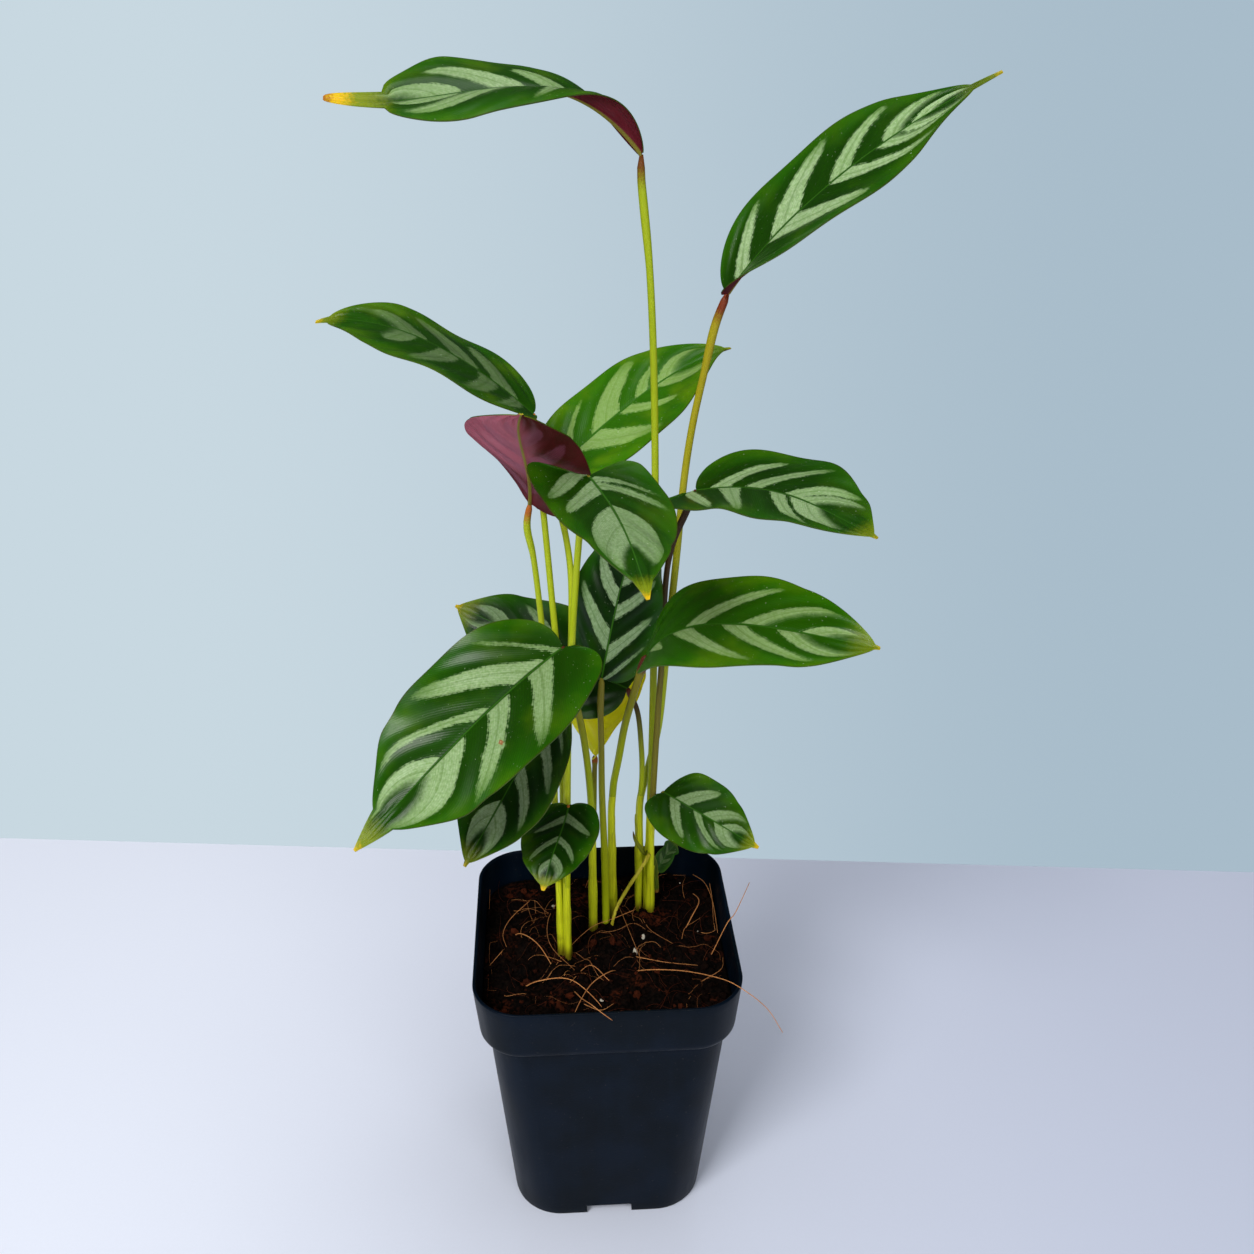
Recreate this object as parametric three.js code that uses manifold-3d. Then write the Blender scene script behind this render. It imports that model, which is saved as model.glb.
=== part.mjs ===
// A compact star calathea: a young plant of sixteen leaves in a square nursery pot, in millimetres.
// The origin is the middle of the pot's base on the ground, +Z is up and the front faces -Y.
import * as THREE from "three";
import { mergeVertices } from "three/addons/utils/BufferGeometryUtils.js";
import Module from "manifold-3d";

const wasm = await Module();
wasm.setup();

// Pot: a tapering square body with round corners under a wider collar. It stands on its flat floor,
// and drains through a notch in the middle of each side of the base.
const POT_HEIGHT = 116.4;
const RIM_HALF = 50;
const RIM_CORNER = 18.9;
const RIM_EDGE = 0.5;
const COLLAR_FOOT_HALF = 48.1;
const COLLAR_FOOT_CORNER = 17.1;
const COLLAR_FOOT_HEIGHT = 97;
const BODY_TOP_HALF = 44.5;
const BODY_TOP_CORNER = 13.5;
const BODY_TOP_HEIGHT = 93.6;
const BASE_HALF = 37.6;
const BASE_CORNER = 19;
const BASE_EDGE = 0.8;
const WALL = 1.4;
const FLOOR = 2;
const CORNER_STEPS = 5;
const NOTCH_WIDTH = 18;
const NOTCH_HEIGHT = 4.6;
const NOTCH_DEPTH = 7;

// Soil: it fills the pot to 13 mm below the rim, with an uneven top.
const SOIL_LEVEL = 103;
const SOIL_RELIEF = 1.5;
const SOIL_EDGE_DROP = 0.5;
const SOIL_FADE = 20;
const SOIL_RING_SHARES = [0.9, 0.75, 0.6, 0.45, 0.3, 0.15];

// Every piece keeps this clearance to the piece that it stands in or on.
const GAP = 0.3;

// Leaf blades: half-widths are in millimetres, and the rest are shares of a blade's length.
const BLADE_THICKNESS = 0.7;
const BLADE_ROWS = 14;
const SMALL_BLADE_ROWS = 7;
const SMALL_BLADE_HALF = 10;
const HALF_COLUMNS = 3;
const BASE_HALF_WIDTH = 1;
const BASE_ROW = 0.05;
const TIP_HALF_WIDTH = 0.5;
const WAVES_PER_BLADE = 2.5;
const WAVE_FADE = 0.25;
const LOBE_REACH = 0.4;
const TAIL_BLEND = 0.3;
const MIDRIB_LAG = 1.3;

// Stalks: round, a little thicker at the joint under the blade.
const STALK_SIDES = 8;
const STALK_STEPS = 12;
const SHORT_STALK_STEPS = 6;
const SHORT_STALK_POINTS = 4;
const JOINT_START = 0.86;
const JOINT_SWELL = 0.25;
const STALK_TIP_RADIUS = 0.55;
const STALK_TO_BLADE = 0.85;

const clamp = THREE.MathUtils.clamp;
const lerp = THREE.MathUtils.lerp;
const smoothstep = THREE.MathUtils.smoothstep;
const radians = THREE.MathUtils.degToRad;
const vector = (p) => new THREE.Vector3(...p);

// Each leaf has a blade and a stalk.
// spine: the four control points of the Bezier curve that the midrib follows, base first.
// face: the way the upper side looks at the base, in the middle and at the tip.
// half: the half-width in its widest place; round and taper: how full the base and the tip end are.
// tail: the share of the length that the drip tip takes, and the half-width that it starts with.
// lobes, curl: left, right. lobes: share of the length that each lobe reaches back behind the base.
// curl: the turn of each half from midrib to margin, in degrees, towards the upper side.
// folds: left, right; the angle of each half to the flat at the base, the middle and the tip.
// waves: left, right; height of the waves in the margin and their phase in radians.
// stalk: the points that it passes through, foot first; radius: at its foot and under the blade.
const LEAVES = {
  // It rises steeply, folded along the midrib, then arches over to the left and opens.
  top_left: {
    spine: [[14, 28, 397], [-14, 19, 433], [-40, 10, 409], [-80, 5, 415]],
    face: [[0.8, 0, 0.6], [-0.1, -0.5, 1], [0.2, -0.4, 0.9]],
    half: 18, round: 0.8, taper: 0.45, tail: [0.11, 2], lobes: [0, 0.07],
    folds: [[85, 22, 48], [70, 5, 26]], curl: [-36, -39], waves: [[0.5, 5.1], [0.8, 4]],
    stalk: [[19.4, 23.9, 150.4], [19.8, 24.4, 175], [20, 24.5, 201], [20, 24, 244], [19.5, 23.2, 290],
      [18.5, 23.8, 330], [17, 25.5, 360], [15, 27, 380], [14, 27.8, 390]],
    radius: [1.4, 1.15], tint: "stalkGreen",
  },
  // The longest leaf, stretched up to the right and facing the front.
  top_right: {
    spine: [[43, 27, 354], [63, 24, 384], [90, 18, 405], [122, 14, 422]],
    face: [[-0.8, -0.4, 0.5], [-0.6, -0.5, 0.7], [-0.5, -0.5, 0.7]],
    half: 21, round: 0.53, taper: 0.78, tail: [0.09, 0.6], lobes: [0.02, 0.04],
    folds: [[14, -7, 8], [49, 0, 5]], curl: [3, 17], waves: [[0.9, 5.1], [0.9, 1.5]],
    stalk: [[17, 28.4, 160.6], [19.8, 29, 173], [23, 29, 190], [25.5, 28.5, 225], [28, 28, 258],
      [30, 27.5, 288], [32.5, 27, 309], [36, 26.5, 328], [39, 26.5, 343]],
    radius: [1.4, 1.25], tint: "stalkGreen",
  },
  left: {
    spine: [[-22, 9, 319], [-42, 10, 338], [-67, 17, 352], [-92, 25, 346]],
    face: [[0.6, -0.3, 0.7], [0.4, -0.3, 0.9], [-0.3, -0.3, 0.9]],
    half: 20, round: 0.57, taper: 0.74, tail: [0.08, 1.4], lobes: [0.04, 0],
    folds: [[14, 2, 8], [9, -24, 27]], curl: [11, -1], waves: [[1, 1.5], [0.6, 3.8]],
    stalk: [[-15.5, 1.8, 138.3], [-15.3, 2.5, 155], [-15, 4, 175], [-15.2, 6.5, 200], [-15.8, 9.5, 226],
      [-17.5, 11, 253], [-19, 12, 275], [-20.3, 12, 293], [-21.5, 10.5, 309]],
    radius: [1.25, 1.05], tint: "stalkGreen",
  },
  // It leans towards the front, so its mauve underside shows.
  mauve: {
    spine: [[-24, 9, 288], [-22, -5, 306], [-29, -21, 322], [-25, -40, 334]],
    face: [[0.5, 0.7, 0.5], [0.2, 0.7, 0.7], [0, 0.5, 0.8]],
    half: 21, round: 0.54, taper: 0.81, tail: [0.04, 0.7], lobes: [0.04, 0.04],
    folds: [[0, -5, 8], [21, 1, 2]], curl: [2, 25], waves: [[0.6, 3.9], [0.3, 5.1]],
    stalk: [[-17.2, 5, 138.3], [-17.8, 6, 155], [-18.2, 7, 174], [-19, 9.5, 208], [-20.6, 11, 232],
      [-22, 11, 252], [-23.5, 10.5, 268], [-25.3, 10, 279]],
    radius: [1.25, 1], tint: "stalkGreen",
  },
  back_right: {
    spine: [[-17, 31, 291], [5, 43, 306], [24, 55, 321], [50, 64, 326]],
    face: [[-0.2, -0.5, 0.8], [-0.2, -0.5, 0.8], [-0.1, -0.4, 0.9]],
    half: 21, round: 0.56, taper: 0.71, tail: [0.05, 0.4], lobes: [0.05, 0.04],
    folds: [[5, -7, 6], [9, 0, 43]], curl: [-7, 11], waves: [[0.8, 4.6], [0.9, 1.4]],
    stalk: [[-14, 5.6, 138.3], [-13.5, 7, 155], [-13, 8.5, 180], [-12, 10.5, 212], [-10.6, 13.5, 240],
      [-10.8, 19, 262], [-14.5, 28.5, 282]],
    radius: [1.25, 1.1], tint: "stalkGreen",
  },
  // It droops towards the front over the middle of the plant.
  middle: {
    spine: [[-5, -18, 307], [4, -39, 302], [6, -60, 301], [9, -80, 293]],
    face: [[0, -0.3, 1], [0, -0.1, 1], [-0.1, -0.3, 0.9]],
    half: 20, round: 0.4, taper: 1.03, tail: [0.11, 0.9], lobes: [0.1, 0.2],
    folds: [[-1, -18, 2], [4, 1, -1]], curl: [-3, 18], waves: [[0.8, 3.4], [0.5, 3.7]],
    stalk: [[-14.4, -2, 138.3], [-14.2, -2, 155], [-13.5, -2, 184], [-12, -2.5, 217], [-10.5, -6, 249],
      [-8.5, -11, 279], [-7, -15, 295]],
    radius: [1.3, 1.1], tint: "stalkGreen",
  },
  right: {
    spine: [[33, 16, 289], [59, -3, 300], [67, -23, 297], [82, -42, 294]],
    face: [[-0.4, 0, 0.9], [-0.1, -0.1, 1], [0, -0.2, 1]],
    half: 21, round: 0.54, taper: 0.82, tail: [0.04, 0.3], lobes: [0.06, 0.15],
    folds: [[13, 3, -3], [3, 0, 1]], curl: [3, 12], waves: [[1.2, 6], [0.7, 2.7]],
    stalk: [[19.9, 20, 150.3], [20.3, 19.3, 168], [21.5, 19, 200], [22.5, 18.5, 222], [23, 18, 246],
      [24, 17.5, 261], [26.5, 17, 272], [29.5, 16.5, 280]],
    radius: [1.25, 1], tint: "stalkBrown",
  },
  lower_right: {
    spine: [[15, -3, 235], [25, -17, 263], [57, -29, 257], [87, -40, 255]],
    face: [[-0.9, 0.1, 0.4], [-0.2, -0.4, 1], [-0.1, -0.5, 0.9]],
    half: 21, round: 0.57, taper: 0.72, tail: [0.03, 0.3], lobes: [0.04, 0.04],
    folds: [[4, -5, 13], [7, 2, 9]], curl: [3, 15], waves: [[0.9, 4.8], [0.7, 4.1]],
    stalk: [[4.5, 22.2, 160.6], [5, 21, 168], [6.5, 17.5, 180], [8.5, 12, 198], [11, 5.5, 214],
      [13, 0, 226]],
    radius: [1.4, 1.4], tint: "stalkOlive",
  },
  // It stands up behind the drooping one and shows its whole face.
  upright: {
    spine: [[0, 11, 219], [5, 16, 245], [10, 19, 266], [14, 22, 271]],
    face: [[-0.2, -0.9, 0.3], [-0.2, -0.8, 0.6], [-0.1, -0.8, 0.6]],
    half: 17, round: 0.54, taper: 0.83, tail: [0.06, 1.2], lobes: [0, 0.04],
    folds: [[-16, 4, -1], [-1, 12, 2]], curl: [-22, 3], waves: [[1, 2.2], [0.8, 5.4]],
    stalk: [[1.6, 18, 92], [1.5, 18, 113], [1, 16.5, 138], [0, 13.5, 168], [-0.2, 12, 191],
      [-0.5, 11, 207]],
    radius: [1.6, 1], tint: "stalkOlive",
  },
  back_left: {
    spine: [[10, 21, 209], [-15, 29, 219], [-34, 38, 227], [-54, 46, 233]],
    face: [[0.1, -0.6, 0.8], [0.1, -0.5, 0.9], [0, -0.6, 0.8]],
    half: 21, round: 0.52, taper: 0.82, tail: [0.02, 0.3], lobes: [0.03, 0.04],
    folds: [[-14, -4, 2], [-1, -3, 5]], curl: [-1, 0], waves: [[1, 3.2], [0.7, 0.9]],
    stalk: [[15.6, 22.8, 160.3], [16, 22.3, 170], [15.6, 22, 182], [14, 22, 198]],
    radius: [1.1, 0.95], tint: "stalkBrown",
  },
  // The broadest leaf, hanging down to the front left.
  front_left: {
    spine: [[-14, -8, 242], [-40, -27, 231], [-60, -43, 214], [-83, -55, 194]],
    face: [[-0.1, -0.5, 0.9], [-0.3, -0.5, 0.8], [-0.3, -0.6, 0.7]],
    half: 27, round: 0.58, taper: 0.79, tail: [0.14, 4.8], lobes: [0.11, 0.06],
    folds: [[7, 4, -8], [4, 3, 0]], curl: [4, 8], waves: [[1.3, 1.5], [1.6, 5.3]],
    stalk: [[-4, 12.6, 150.6], [-4.4, 11, 167], [-5.7, 6.5, 186], [-7.5, 1, 203], [-9.5, -4, 216],
      [-12, -7.5, 230]],
    radius: [1.35, 1.2], tint: "stalkOlive",
  },
  front_left_under: {
    spine: [[-17, -3, 220], [-27, -12, 201], [-39, -22, 185], [-50, -33, 170]],
    face: [[-0.5, -0.7, 0.6], [-0.4, -0.7, 0.7], [-0.3, -0.6, 0.7]],
    half: 21, round: 0.56, taper: 0.79, tail: [0.04, 0.3], lobes: [0.03, 0.04],
    folds: [[14, 3, 1], [0, -2, -2]], curl: [28, -4], waves: [[0.8, 1.8], [0.9, 4.2]],
    stalk: [[-17.4, -0.9, 138.3], [-17.8, -0.6, 155], [-18, 0.3, 175], [-17.8, 2, 195],
      [-16.3, 3, 211.5]],
    radius: [1.2, 1.05], tint: "stalkGreen",
  },
  // The small heart-shaped leaf low down in front.
  small_heart: {
    spine: [[-13, -8, 177], [-16, -18, 170], [-20, -28, 171], [-23, -35, 160]],
    face: [[-0.2, -0.5, 0.8], [-0.1, -0.3, 1], [-0.2, -0.8, 0.6]],
    half: 14, round: 0.54, taper: 0.8, tail: [0.06, 0.7], lobes: [0.08, 0.06],
    folds: [[-1, 8, 4], [-8, -5, 1]], curl: [12, -16], waves: [[0.7, 1.4], [0.9, 2]],
    stalk: [[-14, -5.2, 138.3], [-13.7, -6, 150], [-13.3, -5.5, 165]],
    radius: [1, 0.95], tint: "stalkGreen",
  },
  small_right: {
    spine: [[24, 17, 165], [32, 6, 166], [45, 0, 160], [58, -6, 154]],
    face: [[-0.3, -0.2, 0.9], [0, -0.6, 0.8], [0.2, -0.6, 0.8]],
    half: 15, round: 0.53, taper: 0.81, tail: [0.09, 0.5], lobes: [0.05, 0.07],
    folds: [[4, -7, -1], [6, -5, 0]], curl: [-4, 1], waves: [[0.9, 5], [0.8, 1.6]],
    stalk: [[18.8, 32, 92], [19, 32, 118], [21, 30, 138], [23.5, 23.5, 154]],
    radius: [1.1, 0.95], tint: "stalkGreen",
  },
  // A dying leaf, gone yellow, behind the others.
  yellow: {
    spine: [[-2, 29, 175], [2, 33, 190], [8, 43, 201], [14, 51, 214]],
    face: [[-0.9, -0.4, 0.3], [-0.4, -0.7, 0.7], [0, -0.8, 0.5]],
    half: 16, round: 0.57, taper: 0.69, tail: [0.06, 0.9], lobes: [0.02, 0.04],
    folds: [[1, 8, 0], [22, 19, -5]], curl: [-1, 34], waves: [[1.1, 4.3], [0.8, 3.1]],
    stalk: [[-3.2, 16.6, 150.7], [-2.9, 19, 158], [-2.4, 25, 168]],
    radius: [1.1, 0.95], tint: "stalkBrown",
  },
  // The youngest leaf, just over the soil.
  baby: {
    spine: [[24, 40, 111], [27, 42, 114], [29, 44, 118], [33, 46, 120]],
    face: [[0.1, -0.9, 0.5], [0.1, -0.9, 0.5], [0.1, -0.9, 0.5]],
    half: 3, round: 0.54, taper: 0.78, tail: [0.05, 0.9], lobes: [0.04, 0.05],
    folds: [[0, 0, 0], [1, -1, -1]], curl: [0, -1], waves: [[0.2, 3.7], [0.2, 0.6]],
    stalk: [[23.5, 41, 92], [23.5, 41, 100], [23.7, 40.5, 106]],
    radius: [0.9, 0.8], tint: "stalkGreen",
  },
};

// The clasping stem bases that the stalks come out of: the centre of the foot and of the top,
// and half of the width and of the depth at each end.
const SHEATHS = {
  left: { foot: [-15, 0, 92], top: [-15.7, 0.3, 138], footHalf: [2, 4.4], topHalf: [3.2, 7] },
  middle_left: { foot: [-3.5, 12.6, 92], top: [-3.6, 14.6, 150], footHalf: [1.6, 2.6], topHalf: [1.7, 3.7] },
  middle_right: { foot: [4.3, 23, 92], top: [4.5, 22.2, 160], footHalf: [1.8, 1.9], topHalf: [1.6, 1.7] },
  right_back: { foot: [14, 27.6, 92], top: [16.2, 25.8, 160], footHalf: [2, 3], topHalf: [1.7, 4.6] },
  right_front: { foot: [18.7, 25, 92], top: [19.4, 22, 150], footHalf: [1.8, 3], topHalf: [2, 4] },
};
const SHEATH_STEPS = 6;
const SHEATH_SIDES = 12;

// A dried-up leaf that leans from the soil against the right-hand stems.
const DRY_STEM = [
  [3, 14, 93], [3.8, 14.5, 103], [5.8, 15.5, 111], [10.4, 16.6, 120], [15.2, 17.5, 128], [19, 18.2, 135],
];
const DRY_STEM_RADIUS = [0.6, 0.8];

// Coarse strands of coir in the soil: the points that each passes through.
const STRANDS = [
  // Over the right-hand front corner of the rim and down outside.
  [[8, -10, 97], [13, -14, 104], [28, -23, 111], [41, -36, 118], [48, -43, 119], [57, -46, 112],
    [63, -48, 102]],
  // Over the right rim and up.
  [[38, -9, 97], [43, -7, 108], [48, -4, 117.5], [51, -1, 119], [55, 6, 121], [59, 14, 122.5]],
  // A small loop over the front rim.
  [[-13, -17, 98], [-12, -27, 106], [-10, -38, 113], [-7, -47, 118.3], [-3, -51.5, 118], [0.5, -51.5, 114.5]],
  // Curled over the surface.
  [[30, 8, 98], [36, 14, 106], [40, 22, 108], [38, 34, 103], [36, 40, 98]],
  [[-38, 14, 98], [-33, 8, 106], [-26, 0, 107], [-20, -10, 103], [-16, -16, 98]],
  [[6, -8, 98], [2, -16, 106], [-6, -24, 107], [-12, -34, 104], [-14, -38, 98]],
  [[-34, -16, 98], [-26, -20, 106], [-14, -22, 108], [-4, -30, 104], [0, -34, 98]],
];
const STRAND_RADIUS = 0.45;
const STRAND_SIDES = 5;
const STRAND_STEPS = 10;

const COLORS = {
  pot: [0x1a2129, 0.4],
  soil: [0x20150f, 0.95],
  leafGreen: [0x2c5a1c, 0.35],
  leafYellow: [0xd9b40f, 0.5],
  stalkGreen: [0x9aa82a, 0.45],
  stalkOlive: [0x7f8228, 0.45],
  stalkBrown: [0x4f3a1c, 0.45],
  dryStem: [0xb8a53a, 0.7],
};

const plant = new THREE.Group();

function addPiece(name, geometry, tint) {
  const [color, roughness] = COLORS[tint];
  const material = new THREE.MeshStandardMaterial({ color, roughness, metalness: 0 });
  const mesh = new THREE.Mesh(geometry, material);
  mesh.name = name;
  plant.add(mesh);
}

// A closed skin over rings of points. Each ring runs anticlockwise about the way the rings advance,
// and the first and the last ring are closed with a fan.
function loft(rings) {
  const count = rings[0].length;
  const vertices = rings.flat();
  const index = [];
  for (let i = 0; i + 1 < rings.length; i++) {
    for (let j = 0; j < count; j++) {
      const a = i * count + j;
      const b = i * count + ((j + 1) % count);
      index.push(a, b, b + count, a, b + count, a + count);
    }
  }
  const middle = (ring) => ring.reduce((sum, p) => sum.add(p), new THREE.Vector3()).divideScalar(count);
  const last = (rings.length - 1) * count;
  vertices.push(middle(rings[0]), middle(rings.at(-1)));
  for (let j = 0; j < count; j++) {
    const next = (j + 1) % count;
    index.push(vertices.length - 2, next, j);
    index.push(vertices.length - 1, last + j, last + next);
  }
  const geometry = new THREE.BufferGeometry().setFromPoints(vertices);
  geometry.setIndex(index);
  return geometry;
}

function toSolid(geometry) {
  const bare = new THREE.BufferGeometry();
  bare.setAttribute("position", geometry.getAttribute("position"));
  bare.setIndex(geometry.getIndex());
  const merged = mergeVertices(bare);
  const vertProperties = merged.getAttribute("position").array;
  const triVerts = new Uint32Array(merged.getIndex().array);
  return new wasm.Manifold(new wasm.Mesh({ numProp: 3, vertProperties, triVerts }));
}

function toGeometry(solid) {
  const mesh = solid.getMesh();
  const geometry = new THREE.BufferGeometry();
  geometry.setAttribute("position", new THREE.BufferAttribute(mesh.vertProperties, 3));
  geometry.setIndex(new THREE.BufferAttribute(mesh.triVerts, 1));
  return geometry;
}

// A square ring with round corners.
function squareRing(half, corner, z) {
  const points = [];
  for (let quarter = 0; quarter < 4; quarter++) {
    const diagonal = (quarter + 0.5) * (Math.PI / 2);
    const centreX = Math.sign(Math.cos(diagonal)) * (half - corner);
    const centreY = Math.sign(Math.sin(diagonal)) * (half - corner);
    for (let step = 0; step <= CORNER_STEPS; step++) {
      const angle = (quarter + step / CORNER_STEPS) * (Math.PI / 2);
      const x = centreX + corner * Math.cos(angle);
      const y = centreY + corner * Math.sin(angle);
      points.push(new THREE.Vector3(x, y, z));
    }
  }
  return points;
}

// A ring of the tapering body or of the collar at a height, set in from the outside.
function bodyRing(z, inset) {
  const t = z / BODY_TOP_HEIGHT;
  const half = lerp(BASE_HALF, BODY_TOP_HALF, t);
  const corner = lerp(BASE_CORNER, BODY_TOP_CORNER, t);
  return squareRing(half - inset, corner - inset, z);
}

function collarRing(z, inset) {
  const t = (z - COLLAR_FOOT_HEIGHT) / (POT_HEIGHT - COLLAR_FOOT_HEIGHT);
  const half = lerp(COLLAR_FOOT_HALF, RIM_HALF, t);
  const corner = lerp(COLLAR_FOOT_CORNER, RIM_CORNER, t);
  return squareRing(half - inset, corner - inset, z);
}

// Rings up the pot's inside as far as the collar's foot, set in and lifted.
function cavity(inset, lift) {
  return [
    bodyRing(FLOOR + lift, inset),
    bodyRing(BODY_TOP_HEIGHT + lift, inset),
    collarRing(COLLAR_FOOT_HEIGHT + WALL / 2 + lift, inset),
  ];
}

function pot() {
  const outside = [
    squareRing(BASE_HALF - BASE_EDGE, BASE_CORNER - BASE_EDGE, 0),
    bodyRing(BASE_EDGE, 0),
    bodyRing(BODY_TOP_HEIGHT, 0),
    collarRing(COLLAR_FOOT_HEIGHT, 0),
    collarRing(POT_HEIGHT - RIM_EDGE, 0),
    collarRing(POT_HEIGHT, RIM_EDGE),
  ];
  const inside = [collarRing(POT_HEIGHT, WALL - RIM_EDGE), ...cavity(WALL, 0).reverse()];
  let shell = toSolid(loft([...outside, ...inside]));
  for (let side = 0; side < 4; side++) {
    const notch = new THREE.BoxGeometry(NOTCH_WIDTH, 2 * NOTCH_DEPTH, 2 * NOTCH_HEIGHT);
    notch.translate(0, -BASE_HALF, 0);
    notch.rotateZ(side * (Math.PI / 2));
    shell = shell.subtract(toSolid(notch));
  }
  return toGeometry(shell);
}
addPiece("pot", pot(), "pot");

// A round tube along a curve, with a ring at each place from 0 to 1 along it. It is grown by a
// clearance when it is used to cut a hole.
function tube(curve, places, radiusAt, sides, clearance = 0) {
  let across = new THREE.Vector3(0, 1, 0);
  const rings = places.map((place, i) => {
    const along = curve.getTangentAt(place);
    across = across.clone().addScaledVector(along, -across.dot(along)).normalize();
    const other = along.clone().cross(across);
    const centre = curve.getPointAt(place);
    if (i === 0) centre.addScaledVector(along, -clearance);
    const radius = radiusAt(place) + clearance;
    return Array.from({ length: sides }, (_, j) => {
      const angle = (j / sides) * 2 * Math.PI;
      const point = centre.clone().addScaledVector(across, radius * Math.cos(angle));
      return point.addScaledVector(other, radius * Math.sin(angle));
    });
  });
  return loft(rings);
}

function evenPlaces(steps) {
  return Array.from({ length: steps + 1 }, (_, i) => i / steps);
}

function throughPoints(points) {
  return new THREE.CatmullRomCurve3(points.map(vector), false, "catmullrom", 0.5);
}

// A stem base: upright, oval, and growing wider upwards.
function sheath(part, clearance = 0) {
  const rings = [];
  for (let i = 0; i <= SHEATH_STEPS; i++) {
    const t = i / SHEATH_STEPS;
    const centre = vector(part.foot).lerp(vector(part.top), t);
    if (i === 0) centre.z -= clearance;
    const halfX = lerp(part.footHalf[0], part.topHalf[0], t * t) + clearance;
    const halfY = lerp(part.footHalf[1], part.topHalf[1], t * t) + clearance;
    const ring = [];
    for (let j = 0; j < SHEATH_SIDES; j++) {
      const angle = (j / SHEATH_SIDES) * 2 * Math.PI;
      ring.push(centre.clone().add(new THREE.Vector3(halfX * Math.cos(angle), halfY * Math.sin(angle), 0)));
    }
    rings.push(ring);
  }
  return loft(rings);
}

// A stalk ends a little short of its blade's base, with a rounded tip.
function stalk(leaf, clearance = 0) {
  const base = vector(leaf.spine[0]);
  const last = vector(leaf.stalk.at(-1));
  const end = base.clone().addScaledVector(base.clone().sub(last).normalize(), -STALK_TO_BLADE);
  const curve = throughPoints([...leaf.stalk, end.toArray()]);
  const [foot, top] = leaf.radius;
  const radiusAt = (place) => {
    if (place === 1) return STALK_TIP_RADIUS;
    const joint = clamp((place - JOINT_START) / (1 - JOINT_START), 0, 1);
    return lerp(foot, top, place) + JOINT_SWELL * Math.sin(Math.PI * joint);
  };
  const steps = leaf.stalk.length > SHORT_STALK_POINTS ? STALK_STEPS : SHORT_STALK_STEPS;
  const places = evenPlaces(steps);
  places.splice(steps, 0, 1 - top / curve.getLength());
  return tube(curve, places, radiusAt, STALK_SIDES, clearance);
}

function dryStem(clearance = 0) {
  const [foot, top] = DRY_STEM_RADIUS;
  const radiusAt = (place) => lerp(foot, top, place);
  return tube(throughPoints(DRY_STEM), evenPlaces(SHORT_STALK_STEPS), radiusAt, STALK_SIDES, clearance);
}

// A point of the soil's top: broad and narrow humps that fade out at the wall.
function soilPoint(x, y) {
  const broad = Math.sin(x * 0.21 + 1) * Math.cos(y * 0.17);
  const narrow = Math.sin(x * 0.47 - y * 0.39);
  const fade = clamp((RIM_HALF - Math.max(Math.abs(x), Math.abs(y))) / SOIL_FADE, 0, 1);
  return new THREE.Vector3(x, y, SOIL_LEVEL + SOIL_RELIEF * (broad + 0.6 * narrow) * fade);
}

function soil() {
  const fit = WALL + GAP;
  const fill = [...cavity(fit, GAP), collarRing(SOIL_LEVEL - SOIL_EDGE_DROP, fit)];
  const edge = fill.at(-1);
  for (const share of SOIL_RING_SHARES) {
    fill.push(edge.map((p) => soilPoint(p.x * share, p.y * share)));
  }
  let ground = toSolid(loft(fill));
  for (const points of STRANDS) {
    const strand = tube(throughPoints(points), evenPlaces(STRAND_STEPS), () => STRAND_RADIUS, STRAND_SIDES);
    ground = ground.add(toSolid(strand));
  }
  const buried = [dryStem(GAP)];
  for (const part of Object.values(SHEATHS)) buried.push(sheath(part, GAP));
  for (const leaf of Object.values(LEAVES)) {
    if (leaf.stalk[0][2] < SOIL_LEVEL) buried.push(stalk(leaf, GAP));
  }
  for (const piece of buried) ground = ground.subtract(toSolid(piece));
  return toGeometry(ground);
}
addPiece("soil", soil(), "soil");

// Blend of the values at the base, the middle and the tip of a leaf.
function blend(u, [atBase, atMiddle, atTip]) {
  const v = clamp(u, 0, 1);
  const nearBase = (1 - v) ** 3;
  const nearTip = v ** 3;
  return atBase * nearBase + atMiddle * (1 - nearBase - nearTip) + atTip * nearTip;
}

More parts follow.
